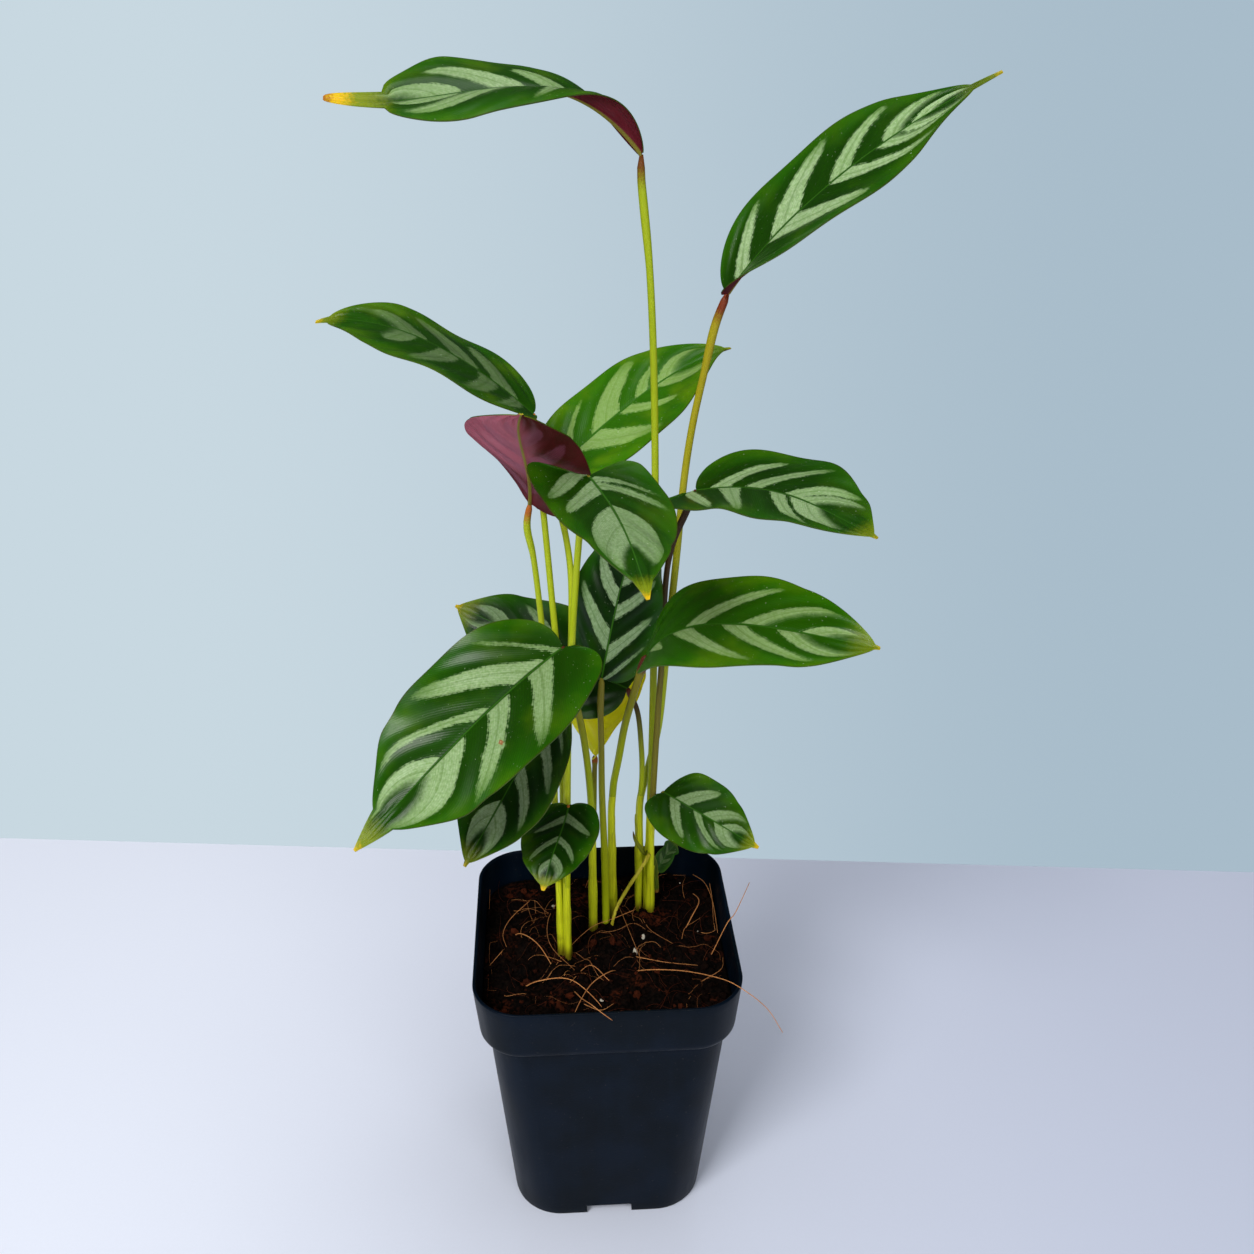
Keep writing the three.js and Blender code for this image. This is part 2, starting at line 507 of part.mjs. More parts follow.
// A point in the middle of a blade's thickness. row runs from 0 at the base to 1 at the tip,
// across from -1 at the left margin to 1 at the right one, seen from above with the tip ahead.
function bladePoint(leaf, row, across) {
  const side = across < 0 ? 0 : 1;
  const out = Math.abs(across);
  const x = (1 - Math.cos(Math.PI * row)) / 2;
  const { half, round, taper } = leaf;
  const [tail, tailHalf] = leaf.tail;
  const full = (round / (round + taper)) ** round * (taper / (round + taper)) ** taper;
  const body = Math.min(1, x / (1 - tail));
  const bow = (half * body ** round * (1 - body) ** taper) / full;
  const drip = (tailHalf * (1 - x) * smoothstep(x, 1 - tail - TAIL_BLEND, 1 - tail)) / tail;
  const width = lerp(BASE_HALF_WIDTH, TIP_HALF_WIDTH, x) + bow + drip;
  const lobe = Math.sin(Math.PI * Math.min(1, row / LOBE_REACH));
  const back = leaf.lobes[side] * (row < LOBE_REACH / 2 ? lobe : lobe ** 2);
  const u = x ** MIDRIB_LAG * (1 - out) + (x - back) * out;

  const inside = clamp(u, 0, 1);
  const curve = new THREE.CubicBezierCurve3(...leaf.spine.map(vector));
  const ahead = bezierSlope(leaf.spine, inside);
  const point = curve.getPoint(inside).addScaledVector(ahead, u - inside);
  const forward = ahead.clone().normalize();
  const up = new THREE.Vector3();
  up.x = blend(u, leaf.face.map((f) => f[0]));
  up.y = blend(u, leaf.face.map((f) => f[1]));
  up.z = blend(u, leaf.face.map((f) => f[2]));
  up.addScaledVector(forward, -up.dot(forward)).normalize();
  const right = new THREE.Vector3().crossVectors(forward, up);

  const angle = radians(blend(u, leaf.folds[side]) + (leaf.curl[side] * out) / 2);
  point.addScaledVector(right, width * across * Math.cos(angle));
  point.addScaledVector(up, width * out * Math.sin(angle));
  const [height, phase] = leaf.waves[side];
  const wave = height * out ** 2 * Math.sin(2 * Math.PI * WAVES_PER_BLADE * u + phase);
  return point.addScaledVector(up, wave * Math.min(1, (1 - x) / WAVE_FADE));
}

function bezierSlope(spine, t) {
  const [a, b, c, d] = spine.map(vector);
  const slope = b.clone().sub(a).multiplyScalar(3 * (1 - t) ** 2);
  slope.addScaledVector(c.clone().sub(b), 6 * (1 - t) * t);
  return slope.addScaledVector(d.clone().sub(c), 3 * t ** 2);
}

// The way the upper side looks at a point of the blade.
function bladeNormal(leaf, row, across) {
  const step = 1e-3;
  const along = bladePoint(leaf, Math.min(1, row + step), across);
  along.sub(bladePoint(leaf, Math.max(0, row - step), across));
  const sideways = bladePoint(leaf, row, Math.min(1, across + step));
  sideways.sub(bladePoint(leaf, row, Math.max(-1, across - step)));
  return sideways.cross(along).normalize();
}

// A blade is a thin plate: two like-triangulated faces and a rim. Its base edge is the row that the
// lobes reach back from.
function blade(leaf) {
  const rows = leaf.half < SMALL_BLADE_HALF ? SMALL_BLADE_ROWS : BLADE_ROWS;
  const columns = 2 * HALF_COLUMNS;
  const upper = [];
  const lower = [];
  for (let i = 0; i <= rows; i++) {
    for (let j = 0; j <= columns; j++) {
      const row = lerp(BASE_ROW, 1, i / rows);
      const across = (2 * j) / columns - 1;
      const point = bladePoint(leaf, row, across);
      const normal = bladeNormal(leaf, row, across);
      upper.push(point.clone().addScaledVector(normal, BLADE_THICKNESS / 2));
      lower.push(point.clone().addScaledVector(normal, -BLADE_THICKNESS / 2));
    }
  }
  const at = (i, j) => i * (columns + 1) + j;
  const under = upper.length;
  const index = [];
  for (let i = 0; i < rows; i++) {
    for (let j = 0; j < columns; j++) {
      const [a, b, c, d] = [at(i, j), at(i, j + 1), at(i + 1, j + 1), at(i + 1, j)];
      index.push(a, b, c, a, c, d);
      index.push(under + a, under + c, under + b, under + a, under + d, under + c);
    }
  }
  const rim = [];
  for (let j = 0; j < columns; j++) rim.push(at(0, j));
  for (let i = 0; i < rows; i++) rim.push(at(i, columns));
  for (let j = columns; j > 0; j--) rim.push(at(rows, j));
  for (let i = rows; i > 0; i--) rim.push(at(i, 0));
  rim.forEach((a, k) => {
    const b = rim[(k + 1) % rim.length];
    index.push(a, under + a, under + b, a, under + b, b);
  });
  const geometry = new THREE.BufferGeometry().setFromPoints([...upper, ...lower]);
  geometry.setIndex(index);
  return geometry;
}

for (const [name, part] of Object.entries(SHEATHS)) {
  addPiece("sheath_" + name, sheath(part), "stalkGreen");
}
for (const [name, leaf] of Object.entries(LEAVES)) {
  addPiece("stalk_" + name, stalk(leaf), leaf.tint);
  addPiece("blade_" + name, blade(leaf), name === "yellow" ? "leafYellow" : "leafGreen");
}
addPiece("dry_stem", dryStem(), "dryStem");

export default plant;
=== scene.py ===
import math

import bpy
import numpy as np
from mathutils import Matrix, Vector, noise as solid_noise


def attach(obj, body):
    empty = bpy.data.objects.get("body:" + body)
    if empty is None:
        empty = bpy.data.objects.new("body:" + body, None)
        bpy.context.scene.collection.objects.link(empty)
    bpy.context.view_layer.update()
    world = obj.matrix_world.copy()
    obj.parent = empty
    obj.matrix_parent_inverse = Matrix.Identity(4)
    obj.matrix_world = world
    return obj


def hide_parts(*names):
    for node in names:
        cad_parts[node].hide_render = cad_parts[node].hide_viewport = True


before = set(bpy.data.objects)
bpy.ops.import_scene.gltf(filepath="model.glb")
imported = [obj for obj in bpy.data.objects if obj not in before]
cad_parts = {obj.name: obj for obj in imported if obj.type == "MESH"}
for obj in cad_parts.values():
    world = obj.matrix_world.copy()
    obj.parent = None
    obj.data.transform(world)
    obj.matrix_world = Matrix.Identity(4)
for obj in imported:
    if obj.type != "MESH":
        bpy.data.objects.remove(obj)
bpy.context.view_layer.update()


# Pot
# A square nursery pot, injection-moulded in thin near-black blue polypropylene. The tapering body has
# round corners, a wider collar for a rim, and a drain notch in the middle of each side of the base.
MM = 0.001
POT_HEIGHT = 116.4
RIM_HALF = 50
RIM_CORNER = 18.9
COLLAR_FOOT_HALF = 48.1
COLLAR_FOOT_CORNER = 17.1
COLLAR_FOOT_HEIGHT = 97
BODY_TOP_HALF = 44.5
BODY_TOP_CORNER = 13.5
BODY_TOP_HEIGHT = 93.6
BASE_HALF = 37.6
BASE_CORNER = 19
BASE_EDGE = 0.8
WALL = 1.4
FLOOR = 2
NOTCH_WIDTH = 18
NOTCH_HEIGHT = 4.6
NOTCH_DEPTH = 7
# Width of the pale line painted under the collar as a highlight on the step's edge.
STEP_HIGHLIGHT_WIDTH = 0.35
CORNER_STEPS = 18
EDGE_STEPS = 4
BODY_ROWS = 12
COLLAR_STEPS = 6
RIM_STEPS = 9
INSIDE_ROWS = 8


def square_ring(half, corner, z):
    """Points of a square with round corners, anticlockwise from above."""
    points = []
    for quarter in range(4):
        diagonal = (quarter + 0.5) * math.pi / 2
        centre_x = math.copysign(half - corner, math.cos(diagonal))
        centre_y = math.copysign(half - corner, math.sin(diagonal))
        for step in range(CORNER_STEPS + 1):
            angle = (quarter + step / CORNER_STEPS) * math.pi / 2
            points.append((centre_x + corner * math.cos(angle), centre_y + corner * math.sin(angle), z))
    return np.array(points)


def mix(a, b, t):
    return a + (b - a) * t


def body_ring(z, inset):
    """Outline of the tapering body at a height, so far inside its outer face."""
    t = z / BODY_TOP_HEIGHT
    half = mix(BASE_HALF, BODY_TOP_HALF, t)
    corner = mix(BASE_CORNER, BODY_TOP_CORNER, t)
    return square_ring(half - inset, corner - inset, z)


def collar_ring(z, inset):
    """Outline of the collar at a height, so far inside its outer face."""
    t = (z - COLLAR_FOOT_HEIGHT) / (POT_HEIGHT - COLLAR_FOOT_HEIGHT)
    half = mix(COLLAR_FOOT_HALF, RIM_HALF, t)
    corner = mix(COLLAR_FOOT_CORNER, RIM_CORNER, t)
    return square_ring(half - inset, corner - inset, z)


def quarter_turns(count):
    """Sine and one minus cosine at even steps of a quarter turn."""
    angles = np.linspace(0, math.pi / 2, count)
    return [(math.sin(angle), 1 - math.cos(angle)) for angle in angles]


def collar_step(inset, lift):
    """The rounded underside between the body's top and the collar's foot."""
    rings = []
    for out, rise in quarter_turns(COLLAR_STEPS):
        half = mix(BODY_TOP_HALF, COLLAR_FOOT_HALF, out)
        corner = mix(BODY_TOP_CORNER, COLLAR_FOOT_CORNER, out)
        z = mix(BODY_TOP_HEIGHT, COLLAR_FOOT_HEIGHT, rise)
        rings.append(square_ring(half - inset, corner - inset, z + lift))
    return rings


def pot_rings():
    """Outlines from the base up the outside, over the rim and down the inside to the floor."""
    rings = []
    for out, rise in quarter_turns(EDGE_STEPS):
        inset = BASE_EDGE * (1 - out)
        rings.append(square_ring(BASE_HALF - inset, BASE_CORNER - inset, BASE_EDGE * rise))
    rings += [body_ring(z, 0) for z in np.linspace(4, BODY_TOP_HEIGHT - 1, BODY_ROWS)]
    rings += collar_step(0, 0)
    up_collar = np.linspace(COLLAR_FOOT_HEIGHT + 1, POT_HEIGHT - WALL / 2, COLLAR_STEPS)
    rings += [collar_ring(z, 0) for z in up_collar]
    for angle in np.linspace(0, math.pi, RIM_STEPS):
        across = WALL / 2 * (1 - math.cos(angle))
        rings.append(collar_ring(POT_HEIGHT - WALL / 2 * (1 - math.sin(angle)), across))
    rings += [collar_ring(z, WALL) for z in up_collar[::-1]]
    rings += collar_step(WALL, WALL / 2)[::-1]
    rings += [body_ring(z, WALL) for z in np.linspace(BODY_TOP_HEIGHT - 1, FLOOR, INSIDE_ROWS)]
    return rings


def loft(rings):
    """Points and faces of a closed skin over rings of equally many points."""
    count = len(rings[0])
    points = np.concatenate([*rings, [rings[0].mean(axis=0)], [rings[-1].mean(axis=0)]])
    faces = []
    for i in range(len(rings) - 1):
        for j in range(count):
            a = i * count + j
            b = i * count + (j + 1) % count
            faces.append((a, b, b + count, a + count))
    last = (len(rings) - 1) * count
    for j in range(count):
        after = (j + 1) % count
        faces.append((len(points) - 2, after, j))
        faces.append((len(points) - 1, last + j, last + after))
    return points, faces


def make_piece(name, points, faces, materials, smooth=True):
    """A mesh object from points in millimetres."""
    mesh = bpy.data.meshes.new(name)
    mesh.from_pydata((np.asarray(points) * MM).tolist(), [], faces)
    for material in materials:
        mesh.materials.append(material)
    mesh.polygons.foreach_set("use_smooth", [smooth] * len(mesh.polygons))
    mesh.update()
    piece = bpy.data.objects.new(name, mesh)
    bpy.context.scene.collection.objects.link(piece)
    return piece


def cut(piece, tools):
    """Cuts the tools' solids out of a piece and removes the tools."""
    for tool in tools:
        modifier = piece.modifiers.new("cut", "BOOLEAN")
        modifier.operation = "DIFFERENCE"
        modifier.solver = "EXACT"
        modifier.object = tool
    bpy.context.view_layer.update()
    evaluated = piece.evaluated_get(bpy.context.evaluated_depsgraph_get())
    finished = bpy.data.meshes.new_from_object(evaluated)
    piece.modifiers.clear()
    piece.data = finished
    for tool in tools:
        bpy.data.objects.remove(tool)


def notch_tools():
    """A box for each side of the base, which leaves a drain notch where it is cut out."""
    tools = []
    for side in range(4):
        box = [(x, y, z) for x in (-1, 1) for y in (-1, 1) for z in (-1, 1)]
        points = np.array(box) * (NOTCH_WIDTH / 2, NOTCH_DEPTH, NOTCH_HEIGHT) - (0, BASE_HALF, 0)
        turn = np.array(Matrix.Rotation(side * math.pi / 2, 3, "Z"))
        faces = [(0, 1, 3, 2), (4, 6, 7, 5), (0, 4, 5, 1), (2, 3, 7, 6), (0, 2, 6, 4), (1, 5, 7, 3)]
        tools.append(make_piece(f"notch_tool_{side}", points @ turn.T, faces, [], smooth=False))
    return tools


def paint(red, green, blue):
    """A display colour from 0 to 255 as the linear colour that shaders take."""
    linear = [((c / 255 + 0.055) / 1.055) ** 2.4 if c > 10 else c / 255 / 12.92 for c in (red, green, blue)]
    return (*linear, 1.0)


def new_material(name, roughness, specular=0.5):
    """A material with its node tree and its shader."""
    material = bpy.data.materials.new(name)
    material.use_nodes = True
    surface = material.node_tree.nodes["Principled BSDF"]
    surface.inputs["Roughness"].default_value = roughness
    surface.inputs["Specular IOR Level"].default_value = specular
    return material, material.node_tree, surface


def feed(tree, socket, value):
    """Sets a socket to a value, or links it where the value is itself a socket."""
    if isinstance(value, bpy.types.NodeSocket):
        tree.links.new(value, socket)
    else:
        socket.default_value = value


def calc(tree, operation, *values):
    node = tree.nodes.new("ShaderNodeMath")
    node.operation = operation
    for socket, value in zip(node.inputs, values):
        feed(tree, socket, value)
    return node.outputs[0]


def fade(tree, value, low, high, start=0.0, end=1.0):
    """Runs smoothly from start to end as value goes from low to high."""
    node = tree.nodes.new("ShaderNodeMapRange")
    node.interpolation_type = "SMOOTHSTEP"
    for socket, given in zip(node.inputs, (value, low, high, start, end)):
        feed(tree, socket, given)
    return node.outputs[0]


def grain(tree, place, scale, detail, stretch=(1, 1, 1)):
    """Noise from 0 to 1, with so many waves to the unit of place."""
    stretched = tree.nodes.new("ShaderNodeMapping")
    stretched.inputs["Scale"].default_value = stretch
    tree.links.new(place, stretched.inputs["Vector"])
    node = tree.nodes.new("ShaderNodeTexNoise")
    tree.links.new(stretched.outputs[0], node.inputs["Vector"])
    node.inputs["Scale"].default_value = scale
    node.inputs["Detail"].default_value = detail
    return node.outputs["Fac"]


def tint(tree, amount, first, second):
    """Goes from the first colour to the second as amount goes from 0 to 1."""
    node = tree.nodes.new("ShaderNodeMix")
    node.data_type = "RGBA"
    feed(tree, node.inputs[0], amount)
    feed(tree, node.inputs[6], first)
    feed(tree, node.inputs[7], second)
    return node.outputs[2]


def raise_surface(tree, surface, height, distance, strength=1.0):
    """Shades the surface as if a height from 0 to 1 raised it by up to a distance in metres."""
    bump = tree.nodes.new("ShaderNodeBump")
    bump.inputs["Distance"].default_value = distance
    bump.inputs["Strength"].default_value = strength
    tree.links.new(height, bump.inputs["Height"])
    tree.links.new(bump.outputs[0], surface.inputs["Normal"])


def object_place(tree):
    return tree.nodes.new("ShaderNodeTexCoord").outputs["Object"]


def split(tree, vector):
    """The three numbers of a vector."""
    parts = tree.nodes.new("ShaderNodeSeparateXYZ")
    tree.links.new(vector, parts.inputs["Vector"])
    return parts.outputs


def pot_material():
    """Near-black blue with faint streaks, a painted highlight as a pale line along the step under the collar,
    and a little dust.
    """
    material, tree, surface = new_material("pot_plastic", 0.4, 0.08)
    place = object_place(tree)
    cloudy = grain(tree, place, 45, 4)
    streaks = grain(tree, place, 160, 3, stretch=(1, 1, 0.06))
    plastic = tint(tree, fade(tree, cloudy, 0.3, 0.7), paint(1, 9, 18), paint(4, 16, 30))
    plastic = tint(tree, fade(tree, streaks, 0.45, 0.8, 0, 0.25), plastic, paint(18, 30, 44))
    # Painted highlight: a pale blue-grey line at the body's top, under the collar, on the step's edge.
    height = calc(tree, "SUBTRACT", split(tree, place)[2], BODY_TOP_HEIGHT * MM)
    painted_step_highlight = fade(tree, calc(tree, "ABSOLUTE", height), STEP_HIGHLIGHT_WIDTH * MM / 3, STEP_HIGHLIGHT_WIDTH * MM, 0.8, 0)
    plastic = tint(tree, painted_step_highlight, plastic, paint(84, 104, 124))
    dust = fade(tree, grain(tree, place, 900, 2), 0.68, 0.78, 0, 0.4)
    surface_color = tint(tree, dust, plastic, paint(60, 58, 56))
    tree.links.new(surface_color, surface.inputs["Base Color"])
    tree.links.new(fade(tree, streaks, 0.2, 0.8, 0.34, 0.5), surface.inputs["Roughness"])
    raise_surface(tree, surface, grain(tree, place, 1400, 3), 0.00004)
    return material


pot = make_piece("nursery_pot", *loft(pot_rings()), [pot_material()])
cut(pot, notch_tools())
pot.data.set_sharp_from_angle(angle=math.radians(40))
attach(pot, "root")
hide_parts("pot")


# Soil
# Moist dark peat mixed with chopped coir, filled to 13 mm below the rim. Its surface is crumbly, with
# clods, a few pale specks of grit, and strands of coir, three of which lie over the rim.
GAP = 0.3
SOIL_LEVEL = 103
SOIL_RELIEF = 1.5
SOIL_FADE = 20
GROUND_POINTS = 250
GROUND_RINGS = 76
INSIDE_REACH = 46
CLODS = 1700
CLOD_SIDES = 6
CLOD_CORNER = 76
STRANDS = 190
STRAND_CORNER = 70
STRAND_REACH = 45
STRAND_POINTS = 12
SPAN_STEPS = 24
# Steps along a strand, its radii at the start and at the end, and its sides.
LONG_STRAND = (40, (0.22, 0.13), 6)
SHORT_STRAND = (24, (0.16, 0.08), 5)
FINE_STRAND_STEPS = 20
FINE_STRAND_SIDES = 4
# Each long strand: the points that it passes through. Each short one: places on the soil, with how high it
# lies above them.
LONG_STRANDS = [
    [(8, -10, 97), (13, -14, 104), (28, -23, 111), (41, -36, 118), (48, -43, 119), (57, -46, 112),
     (63, -48, 102)],
    [(38, -9, 97), (43, -7, 108), (48, -4, 117.5), (51, -1, 119), (55, 6, 121), (59, 14, 122.5)],
    [(-13, -17, 98), (-12, -27, 106), (-10, -38, 113), (-7, -47, 118.3), (-3, -51.5, 118),
     (0.5, -51.5, 114.5)],
    [(30, 8, 98), (36, 14, 106), (40, 22, 108), (38, 34, 103), (36, 40, 98)],
    [(-38, 14, 98), (-33, 8, 106), (-26, 0, 107), (-20, -10, 103), (-16, -16, 98)],
    [(6, -8, 98), (2, -16, 106), (-6, -24, 107), (-12, -34, 104), (-14, -38, 98)],
    [(-34, -16, 98), (-26, -20, 106), (-14, -22, 108), (-4, -30, 104), (0, -34, 98)],
]
SHORT_STRANDS = [
    [(14, 22, 1), (4, 14, 3), (-5, 10, 2.5), (-15, 0, 1.5), (-23, -18, 0.5)],
    [(7, 28, 1), (10, 6, 3), (14, -8, 1)],
    [(12, -7, 1), (24, -11, 2), (36, -12, 0.6)],
    [(40, 44, 1), (44, 36, 3), (46, 24, 2.5), (46, 7, 0.5)],
    [(46, 35, 4), (46, 26, 2), (45, 13, 0.6)],
    [(-29, 30, 0.8), (-37, 18, 2), (-40, 10, 1.5), (-38, 0, 0.6)],
    [(-46, 44, 2.5), (-46, 37, 2), (-46, 25, 0.6)],
    [(-40, 0, 0.6), (-44, -7, 1.2), (-46, -10, 0.6)],
    [(-9, -31, 0.8), (-3, -36, 1.6), (2, -34, 0.8)],
    [(-17, 33, 0.6), (-22, 15, 2.4), (-21, 0, 2), (-12, -13, 0.8)],
    [(24, 44, 0.8), (16, 25, 3), (18, 10, 2), (27, 0, 0.8)],
    [(1, -19, 0.6), (-6, -12, 1.8), (-14, -21, 0.6)],
    [(36, -21, 0.8), (44, -18, 2.5), (46, -9, 1)],
]


def soil_height(x, y):
    """The broad humps of the soil's surface."""
    broad = math.sin(x * 0.21 + 1) * math.cos(y * 0.17)
    narrow = math.sin(x * 0.47 - y * 0.39)
    margin = min(1, max(0, (RIM_HALF - max(abs(x), abs(y))) / SOIL_FADE))
    return SOIL_LEVEL + SOIL_RELIEF * (broad + 0.6 * narrow) * margin


def crumbs(x, y):
    """Height that crumbs add to the surface, in millimetres."""
    coarse = solid_noise.noise(Vector((x, y, 3)) * 0.22)
    lumpy = solid_noise.noise(Vector((x, y, 9)) * 0.6)
    fine = solid_noise.noise(Vector((x, y, 5)) * 1.4)
    return 1.5 * coarse + 1.2 * abs(lumpy) + 0.6 * abs(fine)


def ground_height(x, y, crumb_share=1):
    """Height of the soil's surface, with the given share of its crumbs."""
    return soil_height(x, y) + crumb_share * crumbs(x, y)


def distances(points):
    """How far along a line of points each of them lies."""
    return np.concatenate([[0], np.cumsum(np.linalg.norm(np.diff(points, axis=0), axis=1))])


def points_at(points, wanted):
    """The places at the wanted distances along a line of points."""
    length = distances(points)
    return np.stack([np.interp(wanted, length, points[:, axis]) for axis in range(3)], axis=1)


def even_ring(ring):
    """The same outline with evenly spaced points."""
    closed = np.concatenate([ring, ring[:1]])
    return points_at(closed, np.arange(GROUND_POINTS) / GROUND_POINTS * distances(closed)[-1])


def soil_ground():
    """The whole body of soil: rings up the inside of the pot, then inwards over the surface."""
    fit = WALL + GAP
    rings = [body_ring(FLOOR + GAP, fit), body_ring(BODY_TOP_HEIGHT, fit)]
    rings += collar_step(fit, WALL / 2 + GAP)[1:]
    rings += [collar_ring(COLLAR_FOOT_HEIGHT + 2, fit), collar_ring(SOIL_LEVEL - 0.5, fit)]
    rings = [even_ring(ring) for ring in rings]
    edge = rings[-1]
    for share in np.linspace(0.985, 0.02, GROUND_RINGS):
        ring = edge * (share, share, 1)
        crumb_share = min(1, (1 - share) * 12)
        for point in ring:
            point[2] = ground_height(point[0], point[1], crumb_share)
        rings.append(ring)
    return loft(rings)


def clod(random, centre, size):
    """A small irregular lump: four rings of a ball, with their corners pushed in and out."""
    turns = np.linspace(0, 2 * math.pi, CLOD_SIDES + 1)[:-1]
    rings = []
    for level in (-0.8, -0.25, 0.35, 0.85):
        radius = math.sqrt(1 - level ** 2)
        ring = np.stack([radius * np.cos(turns), radius * np.sin(turns), np.full(CLOD_SIDES, level)], axis=1)
        rings.append(ring * random.uniform(0.7, 1.25, (CLOD_SIDES, 1)))
    points, faces = loft(rings)
    axes = np.linalg.qr(random.normal(size=(3, 3)))[0]
    axes *= np.sign(np.linalg.det(axes))
    return (points * random.uniform(0.6, 1.2, 3)) @ axes * size + centre, faces


def gather(parts):
    """Joins lists of points and faces, and numbers the part that each point belongs to."""
    points, faces, owners = [], [], []
    start = 0
    for number, (part_points, part_faces) in enumerate(parts):
        points.append(part_points)
        faces += [tuple(start + index for index in face) for face in part_faces]
        owners += [number] * len(part_points)
        start += len(part_points)
    return np.concatenate(points), faces, np.array(owners)


def store(piece, name, values):
    """Keeps a number or a vector for each point of a piece, for its material to read."""
    values = np.asarray(values, dtype=float)
    if values.ndim == 1:
        values = np.repeat(values[:, None], 3, axis=1)
    attribute = piece.data.attributes.new(name, "FLOAT_VECTOR", "POINT")
    attribute.data.foreach_set("vector", values.ravel())


def stored(tree, name):
    """The three numbers of a stored vector, and the vector."""
    node = tree.nodes.new("ShaderNodeAttribute")
    node.attribute_name = name
    vector = node.outputs["Vector"]
    return (*split(tree, vector), vector)


def curve_through(points, count):
    """Evenly spaced points along a smooth curve through the given ones, and how far along each is."""
    points = np.asarray(points, dtype=float)
    ends = [2 * points[0] - points[1], 2 * points[-1] - points[-2]]
    full = np.concatenate([ends[:1], points, ends[1:]])
    dense = []
    for i in range(1, len(full) - 2):
        t = np.linspace(0, 1, SPAN_STEPS, endpoint=False)[:, None]
        before, here, there, after = full[i - 1:i + 3]
        slope_here, slope_there = (there - before) / 2, (after - here) / 2
        dense.append(
            here * (2 * t ** 3 - 3 * t ** 2 + 1) + slope_here * (t ** 3 - 2 * t ** 2 + t)
            + there * (3 * t ** 2 - 2 * t ** 3) + slope_there * (t ** 3 - t ** 2)
        )
    dense = np.concatenate([*dense, points[-1:]])
    wanted = np.linspace(0, distances(dense)[-1], count)
    return points_at(dense, wanted), wanted


def tube(path, radii, sides):
    """Points and faces of a tube along a path, with a radius at each of its points."""
    rings = []
    across = np.array((0.0, 1.0, 0.0))
    ahead = np.gradient(path, axis=0)
    turns = np.arange(sides) / sides * 2 * math.pi
    for centre, along, radius in zip(path, ahead, radii):
        along = along / np.linalg.norm(along)
        across = across - across.dot(along) * along
        across /= np.linalg.norm(across)
        other = np.cross(along, across)
        offset = np.cos(turns)[:, None] * across + np.sin(turns)[:, None] * other
        rings.append(centre + radius * offset)
    return loft(rings)


def strand(points, steps, radii, sides):
    """A strand through the given points that goes from the first radius to the second."""
    path, along = curve_through(points, steps)
    return tube(path, np.interp(along, (0, along[-1]), radii), sides)


def times(tree, a, b):
    return calc(tree, "MULTIPLY", a, b)


def soil_material():
    """Almost black peat with rust-red crumbs in patches."""
    material, tree, surface = new_material("peat", 0.9, 0.05)
    place = object_place(tree)
    patches = grain(tree, place, 70, 4)
    fine = grain(tree, place, 700, 5)
    peat = tint(tree, fade(tree, fine, 0.35, 0.7), paint(2, 1, 1), paint(18, 10, 7))
    rusty = fade(tree, patches, 0.54, 0.72, 0, 0.7)
    peat = tint(tree, times(tree, rusty, fade(tree, fine, 0.4, 0.6)), peat, paint(82, 36, 18))
    tree.links.new(peat, surface.inputs["Base Color"])
    tree.links.new(fade(tree, patches, 0.3, 0.7, 0.75, 1), surface.inputs["Roughness"])
    raise_surface(tree, surface, fine, 0.0006)
    return material


def clod_material():
    """Dark peat, with a few rust-red clods and pale specks of grit."""
    material, tree, surface = new_material("clods", 0.85, 0.05)
    shade = stored(tree, "clod")[0]
    fine = grain(tree, object_place(tree), 900, 4)
    dark = tint(tree, fine, paint(2, 1, 1), paint(26, 13, 8))
    rusty = tint(tree, fine, paint(34, 13, 6), paint(84, 36, 18))
    color = tint(tree, fade(tree, shade, 0.84, 0.99), dark, rusty)
    grit = tint(tree, fine, paint(150, 140, 125), paint(220, 214, 200))
    color = tint(tree, fade(tree, shade, 0.995, 0.996), color, grit)
    tree.links.new(color, surface.inputs["Base Color"])
    raise_surface(tree, surface, fine, 0.0004)
    return material


def strand_material():
    """Brown coir, each strand with its own shade from dark to straw-coloured."""
    material, tree, surface = new_material("coir", 0.6, 0.1)
    shade = stored(tree, "strand")[0]
    streaks = grain(tree, object_place(tree), 500, 3)
    dark = tint(tree, streaks, paint(38, 15, 7), paint(88, 38, 18))
    light = tint(tree, streaks, paint(170, 96, 50), paint(232, 168, 104))
    tree.links.new(tint(tree, fade(tree, shade, 0.45, 1), dark, light), surface.inputs["Base Color"])
    raise_surface(tree, surface, streaks, 0.0001)
    return material


def places_in_pot(random, count, reach, corner):
    """Random places up to reach from the middle, apart from those in the pot's round corners."""
    for _ in range(count):
        x, y = random.uniform(-reach, reach, 2)
        if abs(x) + abs(y) <= corner:
            yield x, y


def wandering_path(random, x, y):
    """A random way over the soil from a place, with a low arch in the middle."""
    heading, bend = random.uniform(0, 2 * math.pi), random.normal(0, 0.9)
    length, rise = random.uniform(5, 28), random.uniform(0, 3)
    path = []
    for i in range(STRAND_POINTS):
        t = i / (STRAND_POINTS - 1)
        turn = heading + bend * t + 0.35 * math.sin(5 * t + heading)
        x += math.cos(turn) * length / STRAND_POINTS
        y += math.sin(turn) * length / STRAND_POINTS
        x, y = np.clip((x, y), -STRAND_REACH, STRAND_REACH)
        path.append((x, y, ground_height(x, y, 0.4) + 0.35 + rise * math.sin(math.pi * t)))
    return path


ground = make_piece("soil_ground", *soil_ground(), [soil_material()])
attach(ground, "root")
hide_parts("soil")

random = np.random.default_rng(41)
lumps = []
for x, y in places_in_pot(random, CLODS, INSIDE_REACH, CLOD_CORNER):
    size = random.gamma(2, 0.26) + 0.2
    lumps.append(clod(random, (x, y, ground_height(x, y) + size * 0.2), size))
clod_points, clod_faces, clod_owners = gather(lumps)
clods = make_piece("soil_clods", clod_points, clod_faces, [clod_material()], smooth=False)
store(clods, "clod", random.uniform(0, 1, len(lumps))[clod_owners])
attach(clods, "root")

